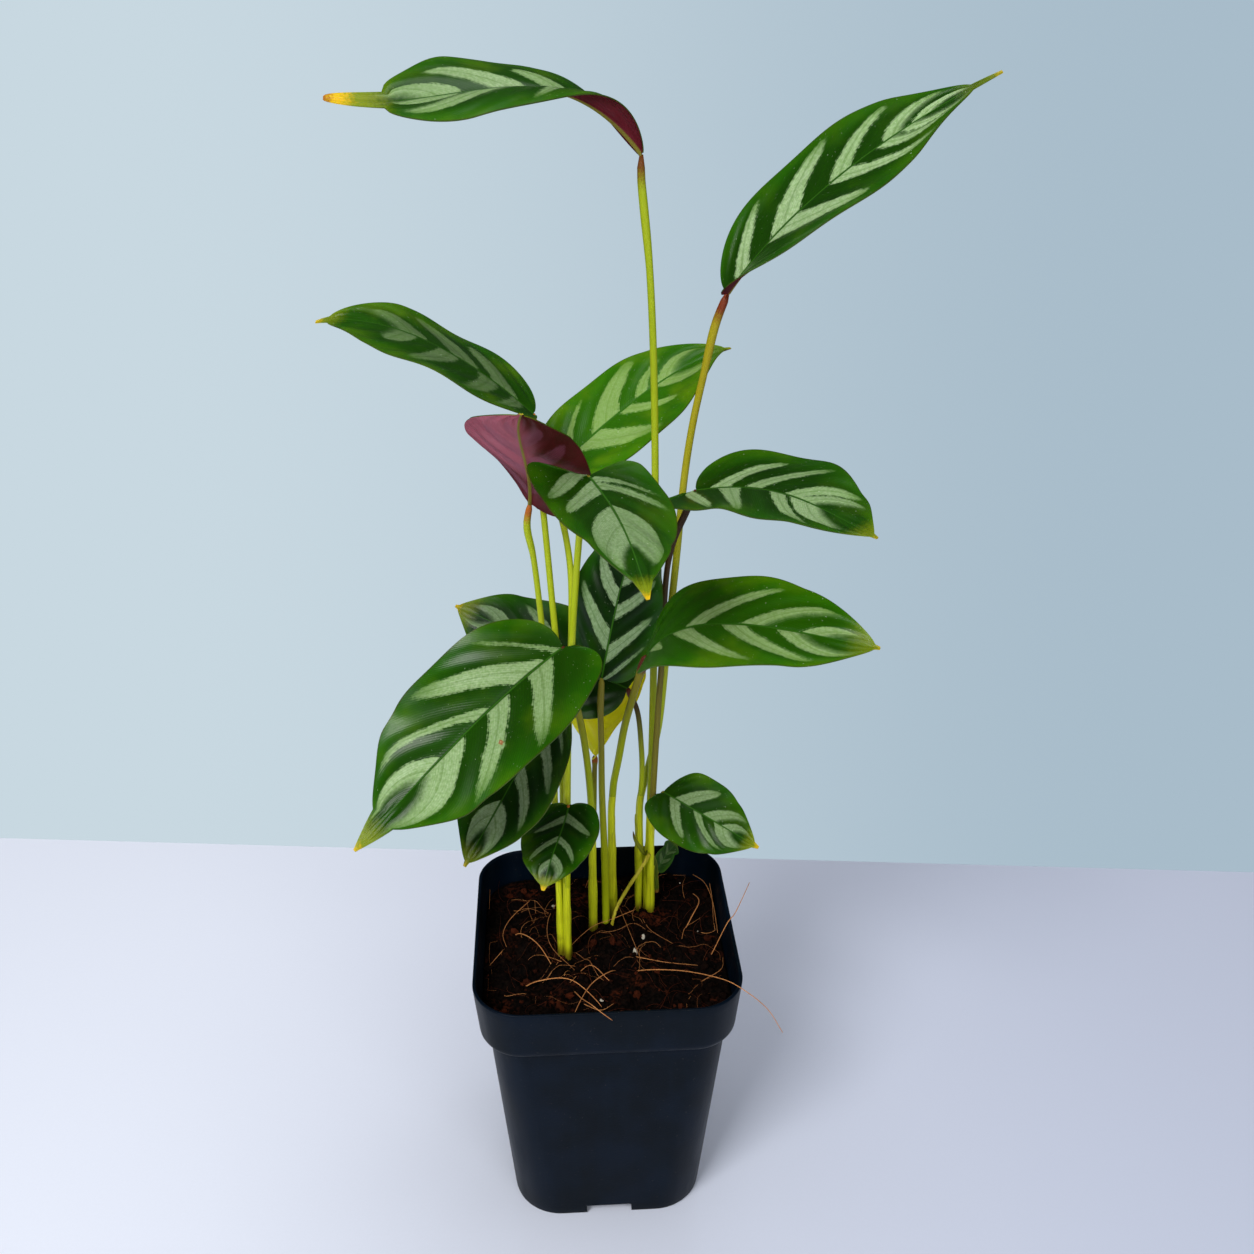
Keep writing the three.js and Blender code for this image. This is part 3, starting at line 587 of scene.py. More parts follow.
strands = []
shades = []
for points in LONG_STRANDS:
    strands.append(strand(points, *LONG_STRAND))
    shades.append(random.uniform(0.75, 1))
for places in SHORT_STRANDS:
    points = [(x, y, ground_height(x, y) + lift) for x, y, lift in places]
    strands.append(strand(points, *SHORT_STRAND))
    shades.append(random.uniform(0.7, 0.95))
for x, y in places_in_pot(random, STRANDS, INSIDE_REACH * 0.88, STRAND_CORNER):
    path = wandering_path(random, x, y)
    radius = random.uniform(0.05, 0.12)
    strands.append(strand(path, FINE_STRAND_STEPS, (radius, radius / 2), FINE_STRAND_SIDES))
    shades.append(random.uniform(0.1, 1) ** 1.5)
strand_points, strand_faces, strand_owners = gather(strands)
coir = make_piece("coir_strands", strand_points, strand_faces, [strand_material()])
store(coir, "strand", np.array(shades)[strand_owners])
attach(coir, "root")


# Stalks
# Each leaf stands on a long round stalk, yellow-green to brown, that thickens into a smooth coloured
# joint under the blade. The joint turns the blade to the light.
JOINT_START = 0.86
JOINT_SWELL = 0.25
STALK_SIDES = 16
STALK_STEPS = 64
STALK_TIP_RADIUS = 0.6
STALK_GREEN = paint(168, 184, 26)
STALK_LIME = paint(188, 202, 26)
STALK_OLIVE = paint(124, 118, 34)
STALK_BROWN = paint(58, 38, 20)
JOINT_MAROON = paint(84, 36, 24)
JOINT_ORANGE = paint(176, 98, 34)


def plus(tree, a, b):
    return calc(tree, "ADD", a, b)


def let_light_in(surface, weight, radius, depth):
    """Lets light into the skin, and each colour as deep as its share, in radius, of a depth in metres."""
    surface.inputs["Subsurface Weight"].default_value = weight
    surface.inputs["Subsurface Radius"].default_value = radius
    surface.inputs["Subsurface Scale"].default_value = depth


def stalk_material(name, low, high, joint, joint_share):
    """A stalk's colour runs from low at its foot to high, then to the joint's colour."""
    material, tree, surface = new_material("stalk_" + name, 0.38, 0.2)
    along, *_, place = stored(tree, "stalk")
    streaks = grain(tree, place, 6, 3, stretch=(0, 1.2, 0.05))
    mottle = grain(tree, place, 3, 4, stretch=(0, 0.6, 0.35))
    color = tint(tree, fade(tree, along, 0.1, 0.9), low, high)
    dark = tint(tree, 0.4, color, paint(84, 78, 12))
    color = tint(tree, fade(tree, streaks, 0.45, 0.8, 0, 0.6), color, dark)
    start = plus(tree, 1 - joint_share, times(tree, mottle, 0.04))
    color = tint(tree, fade(tree, calc(tree, "SUBTRACT", along, start), -0.01, 0.03), color, joint)
    spots = fade(tree, grain(tree, place, 9, 2, stretch=(0, 0.8, 0.6)), 0.7, 0.76, 0, 0.5)
    color = tint(tree, spots, color, paint(60, 44, 18))
    tree.links.new(color, surface.inputs["Base Color"])
    let_light_in(surface, 0.12, (0.6, 1.0, 0.25), 0.001)
    raise_surface(tree, surface, streaks, 0.00008)
    return material


def turns_round(sides, steps):
    """For each point of a tube's rings, the angle round the tube."""
    return np.tile(np.arange(sides) / sides * 2 * math.pi, steps)


def make_stalk(name, points, top, radii, low, high, joint, joint_share, slot):
    path, distance = curve_through([*points, top], STALK_STEPS)
    along = distance / distance[-1]
    foot_radius, top_radius = radii
    swell = JOINT_SWELL * np.sin(math.pi * np.clip((along - JOINT_START) / (1 - JOINT_START), 0, 1))
    thickness = mix(foot_radius, top_radius, along) + swell
    to_end = np.minimum(1, (distance[-1] - distance) / top_radius)
    thickness = np.where(to_end < 1, mix(STALK_TIP_RADIUS, thickness, np.sqrt(to_end)), thickness)
    material = stalk_material(name, low, high, joint, joint_share)
    piece = make_piece("stem_" + name, *tube(path, thickness, STALK_SIDES), [material])
    rows = np.repeat(np.arange(STALK_STEPS), STALK_SIDES)
    around = np.sin(turns_round(STALK_SIDES, STALK_STEPS)) * 2
    values = np.stack([along[rows], around, distance[rows]], axis=1)
    end_values = [(0, 0, 0), (1, 0, distance[-1])]
    store(piece, "stalk", np.concatenate([values, end_values]))
    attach(piece, "root")
    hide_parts("stalk_" + name)


# Each stalk: the points that it passes through, the place where its blade starts, its radii at the foot and
# at the top, its colours at the foot, at the top and at the joint, and the joint's share of its length.
STALKS = {
    "top_left": (
        [(19.4, 23.9, 150.4), (19.8, 24.4, 175), (20, 24.5, 201), (20, 24, 244), (19.5, 23.2, 290),
         (18.5, 23.8, 330), (17, 25.5, 360), (15, 27, 380), (14, 27.8, 390)],
        (14, 28, 397), (1.4, 1.15), STALK_GREEN, paint(158, 174, 26), paint(112, 62, 20), 0.06,
    ),
    "top_right": (
        [(17, 28.4, 160.6), (19.8, 29, 173), (23, 29, 190), (25.5, 28.5, 225), (28, 28, 258),
         (30, 27.5, 288), (32.5, 27, 309), (36, 26.5, 328), (39, 26.5, 343)],
        (43, 27, 354), (1.4, 1.25), STALK_GREEN, paint(160, 148, 26), paint(116, 48, 20), 0.075,
    ),
    "left": (
        [(-15.5, 1.8, 138.3), (-15.3, 2.5, 155), (-15, 4, 175), (-15.2, 6.5, 200), (-15.8, 9.5, 226),
         (-17.5, 11, 253), (-19, 12, 275), (-20.3, 12, 293), (-21.5, 10.5, 309)],
        (-22, 9, 319), (1.25, 1.05), STALK_LIME, STALK_GREEN, JOINT_ORANGE, 0.06,
    ),
    "mauve": (
        [(-17.2, 5, 138.3), (-17.8, 6, 155), (-18.2, 7, 174), (-19, 9.5, 208), (-20.6, 11, 232),
         (-22, 11, 252), (-23.5, 10.5, 268), (-25.3, 10, 279)],
        (-24, 9, 288), (1.25, 1), STALK_LIME, STALK_GREEN, JOINT_ORANGE, 0.07,
    ),
    "back_right": (
        [(-14, 5.6, 138.3), (-13.5, 7, 155), (-13, 8.5, 180), (-12, 10.5, 212), (-10.6, 13.5, 240),
         (-10.8, 19, 262), (-14.5, 28.5, 282)],
        (-17, 31, 291), (1.25, 1.1), STALK_LIME, STALK_GREEN, STALK_OLIVE, 0.05,
    ),
    "middle": (
        [(-14.4, -2, 138.3), (-14.2, -2, 155), (-13.5, -2, 184), (-12, -2.5, 217), (-10.5, -6, 249),
         (-8.5, -11, 279), (-7, -15, 295)],
        (-5, -18, 307), (1.3, 1.1), STALK_LIME, STALK_GREEN, STALK_OLIVE, 0.05,
    ),
    "right": (
        [(19.9, 20, 150.3), (20.3, 19.3, 168), (21.5, 19, 200), (22.5, 18.5, 222), (23, 18, 246),
         (24, 17.5, 261), (26.5, 17, 272), (29.5, 16.5, 280)],
        (33, 16, 289), (1.25, 1), STALK_OLIVE, STALK_BROWN, JOINT_MAROON, 0.06,
    ),
    "lower_right": (
        [(4.5, 22.2, 160.6), (5, 21, 168), (6.5, 17.5, 180), (8.5, 12, 198), (11, 5.5, 214),
         (13, 0, 226)],
        (15, -3, 235), (1.4, 1.4), STALK_GREEN, STALK_OLIVE, JOINT_MAROON, 0.12,
    ),
    "upright": (
        [(1.6, 18, 92), (1.5, 18, 113), (1, 16.5, 138), (0, 13.5, 168), (-0.2, 12, 191),
         (-0.5, 11, 207)],
        (0, 11, 219), (1.6, 1), STALK_LIME, STALK_OLIVE, STALK_OLIVE, 0.05,
    ),
    "back_left": (
        [(15.6, 22.8, 160.3), (16, 22.3, 170), (15.6, 22, 182), (14, 22, 198)],
        (10, 21, 209), (1.1, 0.95), STALK_GREEN, STALK_BROWN, JOINT_MAROON, 0.1,
    ),
    "front_left": (
        [(-4, 12.6, 150.6), (-4.4, 11, 167), (-5.7, 6.5, 186), (-7.5, 1, 203), (-9.5, -4, 216),
         (-12, -7.5, 230)],
        (-14, -8, 242), (1.35, 1.2), STALK_GREEN, STALK_OLIVE, JOINT_MAROON, 0.1,
    ),
    "front_left_under": (
        [(-17.4, -0.9, 138.3), (-17.8, -0.6, 155), (-18, 0.3, 175), (-17.8, 2, 195),
         (-16.3, 3, 211.5)],
        (-17, -3, 220), (1.2, 1.05), STALK_LIME, STALK_GREEN, STALK_OLIVE, 0.08,
    ),
    "small_heart": (
        [(-14, -5.2, 138.3), (-13.7, -6, 150), (-13.3, -5.5, 165)],
        (-13, -8, 177), (1, 0.95), STALK_LIME, STALK_GREEN, JOINT_ORANGE, 0.1,
    ),
    "small_right": (
        [(18.8, 32, 92), (19, 32, 118), (21, 30, 138), (23.5, 23.5, 154)],
        (24, 17, 165), (1.1, 0.95), STALK_LIME, STALK_GREEN, STALK_OLIVE, 0.1,
    ),
    "yellow": (
        [(-3.2, 16.6, 150.7), (-2.9, 19, 158), (-2.4, 25, 168)],
        (-2, 29, 175), (1.1, 0.95), STALK_GREEN, STALK_OLIVE, paint(150, 78, 30), 0.13,
    ),
    "baby": (
        [(23.5, 41, 92), (23.5, 41, 100), (23.7, 40.5, 106)],
        (24, 40, 111), (0.9, 0.8), STALK_LIME, STALK_LIME, STALK_GREEN, 0.1,
    ),
}
DARK_STALKS = ("right", "back_left", "yellow")
for name, parts in STALKS.items():
    make_stalk(name, *parts, "dark_stalk" if name in DARK_STALKS else "stalk")


# Stem bases
# Low down the stalks press together in bundles. Each stalk broadens there into a fleshy yellow-green
# foot, and older ones carry open sleeves that clasp the younger ones.
SLEEVE_SIDES = 22
SLEEVE_ROWS = 26
SLEEVE_WALL = 0.28
SLEEVE_FIT = 0.82
SLEEVE_START = 98
SLEEVE_DROP = 18
# For a sleeve's foot and top: how many degrees it goes round the stalk, and its share of its radius.
SLEEVE_TURN = (345, 210)
SLEEVE_FLARE = (1.05, 0.8)
BASE_FOOT = 94
BASE_BEND = 10
BASE_OVERLAP = 0.6
BASE_SWELL = 1.35
BASE_SIDES = 14
BASE_STEPS = 30
# Each bundle: the middle of its foot, its stalks, and how far apart they stand there, as a share of how far
# apart they are higher up.
BUNDLES = {
    "left": ((-15, 0), ("left", "mauve", "back_right", "middle", "front_left_under", "small_heart"), 0.72),
    "middle_left": ((-3.5, 12.6), ("front_left", "yellow"), 0.62),
    "middle_right": ((4.3, 23), ("lower_right",), 1),
    "right_back": ((14, 27.6), ("back_left", "top_right"), 0.75),
    "right_front": ((18.7, 25), ("top_left", "right"), 0.72),
}
# Each sleeve: its bundle, the stalk that it clasps, height of the top, radius, way its slit looks.
SLEEVES = [
    ("left", "left", 118, 2.5, 250), ("left", "middle", 126, 2.1, 200), ("left", "mauve", 121, 2.2, 20),
    ("left", "front_left_under", 112, 2.3, 160), ("middle_left", "front_left", 140, 2.1, 300),
    ("middle_right", "lower_right", 150, 2.2, 200), ("right_back", "top_right", 147, 2.4, 330),
    ("right_front", "top_left", 138, 2.6, 280), ("right_front", "right", 128, 2.2, 160),
]


def base_path(bundle, stalk_name):
    """The way a stalk takes from its bundle's foot up to where the stalk above starts."""
    foot, _, shrink = BUNDLES[bundle]
    top, above = np.array(STALKS[stalk_name][0][:2], dtype=float)
    slope = (above - top) / (above[2] - top[2])
    low = np.array((*mix(np.array(foot), top[:2], shrink), BASE_FOOT))
    under = top - slope * BASE_BEND
    under[:2] = mix(under[:2], mix(low[:2], top[:2], 0.72), 0.4)
    return curve_through([low, mix(low, under, 0.5), under, top + slope * BASE_OVERLAP], BASE_STEPS)[0]


def sheet_faces(rows, columns):
    """Faces of a thin sheet: a grid of points, a second grid behind it, and the rim that joins them."""
    index = np.arange(rows * columns).reshape(rows, columns)
    a, b, c, d = (part.ravel() for part in (index[:-1, :-1], index[:-1, 1:], index[1:, 1:], index[1:, :-1]))
    front = np.stack([a, b, c, d], axis=1)
    behind = np.stack([a, d, c, b], axis=1) + index.size
    border = np.concatenate([index[0, :-1], index[:-1, -1], index[-1, :0:-1], index[:0:-1, 0]])
    after = np.roll(border, -1)
    rim = np.stack([border, border + index.size, after + index.size, after], axis=1)
    return np.concatenate([front, behind, rim]).tolist()


def sleeve(path, top, radius, slit, seed):
    """A clasping sleeve: a thin wall most of the way round the stalk, open down one side."""
    outer, inner = [], []
    tilt = math.radians(slit)
    for row in range(SLEEVE_ROWS + 1):
        t = row / SLEEVE_ROWS
        for k in range(SLEEVE_SIDES + 1):
            share = k / SLEEVE_SIDES
            turn = tilt + math.pi + (share - 0.5) * math.radians(mix(*SLEEVE_TURN, t ** 1.5))
            height = mix(SLEEVE_START, top - SLEEVE_DROP * abs(share - 0.5) ** 1.3, t)
            centre = np.array([np.interp(height, path[:, 2], path[:, axis]) for axis in range(2)])
            ripple = 0.06 * math.sin(share * 60 + seed) + 0.12 * math.sin(height * 0.3 + seed)
            reach = radius * mix(*SLEEVE_FLARE, t) + ripple
            for wall, edge in ((outer, SLEEVE_WALL / 2), (inner, -SLEEVE_WALL / 2)):
                x, y = centre + (reach + edge) * np.array((math.cos(turn), math.sin(turn)))
                wall.append((x, y, height))
    return np.array(outer + inner), sheet_faces(SLEEVE_ROWS + 1, SLEEVE_SIDES + 1)


def base_material():
    """Bright yellow-green, streaked lengthwise, brown and blotchy where it comes out of the soil."""
    material, tree, surface = new_material("stem_bases", 0.42, 0.2)
    height, *_, place = stored(tree, "base")
    streaks = grain(tree, place, 1, 4, stretch=(0.05, 4, 3))
    blotches = grain(tree, object_place(tree), 120, 3)
    color = tint(tree, fade(tree, height, 95, 125), paint(190, 200, 22), paint(222, 230, 40))
    color = tint(tree, fade(tree, streaks, 0.42, 0.72, 0, 0.6), color, paint(140, 150, 12))
    brown = times(tree, fade(tree, height, 103, 116, 1, 0.1), fade(tree, blotches, 0.5, 0.7))
    color = tint(tree, brown, color, paint(78, 58, 24))
    color = tint(tree, fade(tree, height, 104, 111, 0.85, 0), color, paint(78, 54, 14))
    tree.links.new(color, surface.inputs["Base Color"])
    let_light_in(surface, 0.15, (0.7, 1.0, 0.2), 0.001)
    raise_surface(tree, surface, streaks, 0.00015)
    return material


def base_values(points, around, seed):
    """What the material reads: each point's height, its place round the stem, and the stem's own number."""
    return np.stack([points[:, 2], around, np.full(len(points), seed)], axis=1)


stem_paint = base_material()
for bundle, (foot, members, _) in BUNDLES.items():
    parts, values = [], []
    for number, member in enumerate(members):
        foot_radius = STALKS[member][2][0]
        radii = mix(BASE_SWELL, 1, np.linspace(0, 1, BASE_STEPS) ** 0.8) * foot_radius
        points, faces = tube(base_path(bundle, member), radii, BASE_SIDES)
        parts.append((points, faces))
        around = np.concatenate([np.sin(turns_round(BASE_SIDES, BASE_STEPS)), (0, 0)])
        values.append(base_values(points, around, number * 3.1))
    for number, (home, member, top, radius, slit) in enumerate(SLEEVES):
        if home != bundle:
            continue
        points, faces = sleeve(base_path(bundle, member), top, radius * SLEEVE_FIT, slit, number * 2.3)
        parts.append((points, faces))
        around = np.arctan2(points[:, 1] - foot[1], points[:, 0] - foot[0]) * 2
        values.append(base_values(points, around, number * 1.7 + 9))
    points, faces, _ = gather(parts)
    piece = make_piece("stem_base_" + bundle, points, faces, [stem_paint])
    piece.data.set_sharp_from_angle(angle=math.radians(60))
    store(piece, "base", np.concatenate(values))
    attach(piece, "root")
    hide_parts("sheath_" + bundle)


# Leaves
# Sixteen thin, slightly leathery blades with a drip tip and a wavy edge: silver-green bands along the
# side veins over dark green, a pale midrib, a fine reddish edge, and a burgundy underside.
LEAF_THICKNESS = 0.36
BASE_HALF_WIDTH = 1
TIP_HALF_WIDTH = 0.5
LEAF_ROWS = 116
HALF_COLUMNS = 26
FIRST_ROW = 0.03
# The power by which the places along the midrib lag behind those along the margin.
MIDRIB_LAG = 1.3
# How much the blade narrows where it comes to a point, and the shares of its length where its lobes end, the
# drip tip blends in, and the waves of the margin fade.
POINT = 0.42
LOBE_REACH = 0.4
TAIL_BLEND = 0.3
WAVE_FADE = 0.25
WAVES_PER_BLADE = 2.5
# Heights and half-widths of the midrib's groove above and ridge below, and the height of the quilting between
# the side veins, on a leaf of the common half-width.
COMMON_HALF = 21
GROOVE = 0.28
GROOVE_HALF = 0.8
RIDGE = 0.5
RIDGE_HALF = 0.6
QUILT = 0.2
FOLDS_PER_BLADE = 7
# A side vein's lead towards the tip by the time it reaches the margin, and the power of its bend.
LEAD = 0.33
LEAD_POWER = 1.25
FINE_VEINS = 480
# Each leaf has its shape first, much as in the solids, and then its look.
# spine: the control points of the curve that the midrib follows, after the place where the stalk ends.
# face: the way that the upper side looks at the base, in the middle and at the tip.
# half: the half-width in its widest place; round, taper: how full the base and the tip end are.
# tail: the share of the length that the drip tip takes, and its half-width; blunt: how fast it narrows.
# lobes: for the left and right half, how far the blade reaches back behind the end of the stalk.
# folds: the angle of each half to the flat at the base, the middle and the tip; curl: its further turn.
# waves: for each half, the height of the waves in the margin, and where they start in their round.
# left, right: each silver band on that side, as the places along the midrib where it starts and ends, how
# far it reaches towards the margin, and its slant.
# silver, warm, bright: strength of the bands, of the yellowing and of the light green.
# tip: where the withered tip starts, and its strength; pink: how pink the right half is underneath, a pink
# that is partly painted light, and how much painted shade darkens the left half.
# spot: where the leaf has been bitten, along the midrib and across.
LEAVES = {
    "top_left": {
        "spine": [(-14, 19, 433), (-40, 10, 409), (-80, 5, 415)],
        "face": [(0.8, 0, 0.6), (-0.1, -0.5, 1), (0.2, -0.75, 0.7)],
        "half": 18, "round": 0.8, "taper": 0.45, "tail": (0.15, 3.6), "blunt": 0.45, "lobes": (0, 0),
        "folds": ((85, 22, 48), (10, 12, 26)), "curl": (-36, -39), "waves": ((0.5, 5.1), (0.8, 4)),
        "left": [(0.27, 0.34, 0.9, -0.17), (0.49, 0.6, 0.85, -0.02), (0.62, 0.74, 0.5, 0)],
        "right": [(0.25, 0.35, 0.5, 0), (0.42, 0.54, 0.7, 0.03), (0.62, 0.78, 0.6, -0.02)],
        "silver": 0.75, "warm": 0.2, "bright": 0.25, "tip": (0.925, 1),
    },
    "top_right": {
        "spine": [(63, 24, 384), (90, 18, 405), (122, 14, 422)],
        "face": [(-0.8, -0.4, 0.5), (-0.6, -0.5, 0.7), (-0.5, -0.5, 0.7)],
        "half": 21, "round": 0.66, "taper": 0.78, "tail": (0.09, 0.6), "lobes": (0.02, 0.04),
        "folds": ((14, -7, 8), (36, 0, 5)), "curl": (3, 17), "waves": ((0.9, 5.1), (0.9, 1.5)),
        "left": [(0.035, 0.11, 0.85, -0.12), (0.205, 0.325, 0.9, -0.065), (0.445, 0.52, 0.85, -0.08),
                 (0.63, 0.7, 0.9, -0.12), (0.72, 0.8, 0.6, -0.05)],
        "right": [(0.185, 0.315, 0.85, 0), (0.435, 0.52, 0.9, 0), (0.6, 0.67, 0.9, -0.06),
                 (0.69, 0.745, 0.85, -0.11)],
        "silver": 1, "warm": 0.1, "bright": 0.2, "tip": (0.97, 0.5),
    },
    "left": {
        "spine": [(-42, 10, 338), (-67, 17, 352), (-92, 25, 346)],
        "face": [(0.6, -0.3, 0.7), (0.4, -0.3, 0.9), (-0.3, -0.3, 0.9)],
        "half": 20, "round": 0.57, "taper": 0.74, "tail": (0.06, 1), "lobes": (0.04, 0),
        "folds": ((14, 2, 8), (9, -24, 27)), "curl": (11, -1), "waves": ((1, 1.5), (0.6, 3.8)),
        "left": [(0.06, 0.12, 0.85, -0.25), (0.19, 0.27, 0.9, -0.27), (0.36, 0.45, 0.85, -0.2),
                 (0.55, 0.66, 0.5, -0.2)],
        "right": [(0.08, 0.21, 0.7, 0), (0.27, 0.4, 0.8, 0.03), (0.5, 0.65, 0.65, 0)],
        "silver": 0.36, "warm": 0.3, "bright": 0.3, "tip": (0.965, 0.7),
    },
    "mauve": {
        "spine": [(-22, -5, 306), (-29, -21, 322), (-25, -40, 334)],
        "face": [(0.5, 0.7, 0.5), (0.2, 0.7, 0.7), (0, 0.5, 0.8)],
        "half": 21, "round": 0.54, "taper": 0.81, "tail": (0.04, 0.7), "lobes": (0.04, 0.04),
        "folds": ((0, -5, 8), (21, 1, 2)), "curl": (2, 25), "waves": ((0.6, 3.9), (0.3, 5.1)),
        "left": [(0.1, 0.22, 0.85, 0), (0.33, 0.45, 0.8, 0), (0.56, 0.7, 0.6, 0)],
        "right": [(0.05, 0.14, 0.8, 0), (0.25, 0.35, 0.85, 0), (0.45, 0.56, 0.75, 0), (0.66, 0.76, 0.5, 0)],
        # Underneath, its right half is lighter pink, partly painted light, and its left half carries painted
        # shade.
        "silver": 0.8, "warm": 0.2, "bright": 0.3, "tip": (0.97, 0.5), "pink_and_painted_light": 1,
    },
    "back_right": {
        "spine": [(5, 43, 306), (24, 55, 321), (50, 64, 326)],
        "face": [(-0.2, -0.5, 0.8), (-0.2, -0.5, 0.8), (-0.1, -0.4, 0.9)],
        "half": 21, "round": 0.56, "taper": 0.71, "tail": (0.025, 0.6), "lobes": (0.05, 0.04),
        "folds": ((5, -7, 6), (9, 0, 43)), "curl": (-7, 11), "waves": ((0.8, 4.6), (0.9, 1.4)),
        "left": [(0.06, 0.12, 0.8, 0), (0.245, 0.395, 0.9, 0), (0.49, 0.56, 0.6, 0), (0.61, 0.715, 0.7, 0)],
        "right": [(0.135, 0.285, 0.9, -0.06), (0.385, 0.46, 0.65, 0), (0.58, 0.705, 0.75, 0)],
        "silver": 0.7, "warm": 0.55, "bright": 0.7, "tip": (0.97, 0.3),
    },
    "middle": {
        "spine": [(4, -39, 302), (6, -60, 301), (9, -80, 293)],
        "face": [(0, -0.3, 1), (0, -0.1, 1), (-0.1, -0.3, 0.9)],
        "half": 20, "round": 0.4, "taper": 1.03, "tail": (0.12, 2.4), "lobes": (0.1, 0.2),
        "folds": ((-1, -18, 2), (4, 1, -1)), "curl": (-3, 18), "waves": ((0.8, 3.4), (0.5, 3.7)),
        "left": [(0.02, 0.06, 0.9, -0.14), (0.065, 0.125, 0.9, -0.09), (0.27, 0.62, 0.85, 0)],
        "right": [(-0.16, -0.02, 0.9, 0), (0.04, 0.16, 0.75, 0), (0.28, 0.63, 0.9, 0)],
        "silver": 0.65, "warm": 0.2, "bright": 0.2, "tip": (0.955, 1),
    },
    "right": {
        "spine": [(59, -3, 300), (67, -23, 297), (82, -42, 294)],
        "face": [(-0.4, 0, 0.9), (-0.1, -0.1, 1), (0, -0.2, 1)],
        "half": 21, "round": 0.54, "taper": 0.82, "tail": (0.03, 0.6), "lobes": (0.06, 0.15),
        "folds": ((13, 3, -3), (3, 0, 1)), "curl": (3, 12), "waves": ((1.2, 6), (0.7, 2.7)),
        "left": [(0.055, 0.14, 0.75, -0.055), (0.225, 0.307, 0.9, -0.045), (0.437, 0.52, 0.9, -0.045),
                 (0.53, 0.625, 0.85, -0.05)],
        "right": [(-0.12, -0.03, 0.9, 0), (0.1, 0.2, 0.9, -0.04), (0.35, 0.445, 0.9, 0.075),
                 (0.48, 0.67, 0.7, 0.05)],
        "silver": 0.9, "warm": 0.15, "bright": 0.2, "tip": (0.98, 0.7),
    },
    "lower_right": {
        "spine": [(25, -17, 263), (57, -29, 257), (87, -40, 255)],
        "face": [(-0.9, 0.1, 0.4), (-0.2, -0.4, 1), (-0.1, -0.5, 0.9)],
        "half": 21, "round": 0.57, "taper": 0.72, "tail": (0.02, 0.5), "lobes": (0.04, 0.04),
        "folds": ((4, -5, 13), (7, 2, 9)), "curl": (3, 15), "waves": ((0.9, 4.8), (0.7, 4.1)),
        "left": [(0.26, 0.35, 0.85, 0.07), (0.51, 0.605, 0.8, 0.035), (0.73, 0.83, 0.5, 0)],
        "right": [(0.02, 0.11, 0.35, 0), (0.19, 0.295, 0.85, 0.08), (0.43, 0.535, 0.85, 0.04),
                 (0.65, 0.745, 0.9, -0.07)],
        "silver": 0.75, "warm": 0.3, "bright": 0.45, "tip": (0.98, 0.6),
    },
    "upright": {
        "spine": [(5, 16, 245), (10, 19, 266), (14, 22, 271)],
        "face": [(-0.2, -0.9, 0.3), (-0.2, -0.8, 0.6), (-0.1, -0.8, 0.6)],
        "half": 17, "round": 0.54, "taper": 0.83, "tail": (0.06, 1.2), "lobes": (0, 0.04),
        "folds": ((-16, 4, -1), (-1, 12, 2)), "curl": (-22, 3), "waves": ((1, 2.2), (0.8, 5.4)),
        "left": [(0.13, 0.24, 0.85, -0.01), (0.37, 0.48, 0.8, 0), (0.6, 0.7, 0.6, 0)],
        "right": [(-0.08, -0.02, 0.8, 0), (0.07, 0.17, 0.8, 0), (0.295, 0.38, 0.85, 0), (0.49, 0.59, 0.7, 0)],
        "silver": 0.75, "warm": 0.1, "bright": 0.05, "tip": (0.98, 0.3),
    },
    "back_left": {
        "spine": [(-15, 29, 219), (-34, 38, 227), (-54, 46, 233)],
        "face": [(0.1, -0.6, 0.8), (0.1, -0.5, 0.9), (0, -0.6, 0.8)],
        "half": 21, "round": 0.52, "taper": 0.82, "tail": (0.02, 0.4), "lobes": (0.03, 0.04),
        "folds": ((-14, -4, 2), (-1, -3, 5)), "curl": (-1, 0), "waves": ((1, 3.2), (0.7, 0.9)),
        "left": [(0.12, 0.24, 0.9, 0), (0.32, 0.42, 0.95, 0), (0.5, 0.6, 0.85, 0), (0.68, 0.77, 0.7, 0)],
        "right": [(0.08, 0.18, 0.8, 0), (0.35, 0.45, 0.8, 0), (0.62, 0.77, 0.6, 0)],
        "silver": 0.6, "warm": 0.15, "bright": 0.1, "tip": (0.96, 0.6),
    },
    "front_left": {
        "spine": [(-40, -27, 231), (-60, -43, 214), (-83, -55, 194)],
        "face": [(-0.1, -0.5, 0.9), (-0.3, -0.5, 0.8), (-0.3, -0.6, 0.7)],
        "half": 27, "round": 0.58, "taper": 0.79, "tail": (0.14, 4.8), "lobes": (0.11, 0.06),
        "folds": ((7, 4, -8), (4, 3, 0)), "curl": (4, 8), "waves": ((1.3, 1.5), (1.6, 5.3)),
        "left": [(0.058, 0.168, 0.95, -0.09), (0.256, 0.36, 0.95, -0.01), (0.47, 0.67, 0.95, 0)],
        "right": [(0.01, 0.04, 0.9, -0.1), (0.082, 0.217, 0.92, 0.045), (0.335, 0.4, 0.92, 0.11),
                 (0.58, 0.71, 0.85, -0.03)],
        "spot": (0.41, -0.5), "silver": 0.9, "warm": 0.2, "bright": 0.25, "tip": (0.97, 0.9),
    },
    "front_left_under": {
        "spine": [(-27, -12, 201), (-39, -22, 185), (-50, -33, 170)],
        "face": [(-0.5, -0.7, 0.6), (-0.4, -0.7, 0.7), (-0.3, -0.6, 0.7)],
        "half": 21, "round": 0.56, "taper": 0.79, "tail": (0.03, 0.5), "lobes": (0.03, 0.04),
        "folds": ((14, 3, 1), (0, -2, -2)), "curl": (28, -4), "waves": ((0.8, 1.8), (0.9, 4.2)),
        "left": [(-0.04, 0.03, 0.8, 0), (0.13, 0.235, 0.85, 0), (0.38, 0.475, 0.85, 0),
                 (0.6, 0.78, 0.8, -0.04)],
        "right": [(0.08, 0.2, 0.9, 0), (0.3, 0.42, 0.85, 0), (0.6, 0.78, 0.65, 0)],
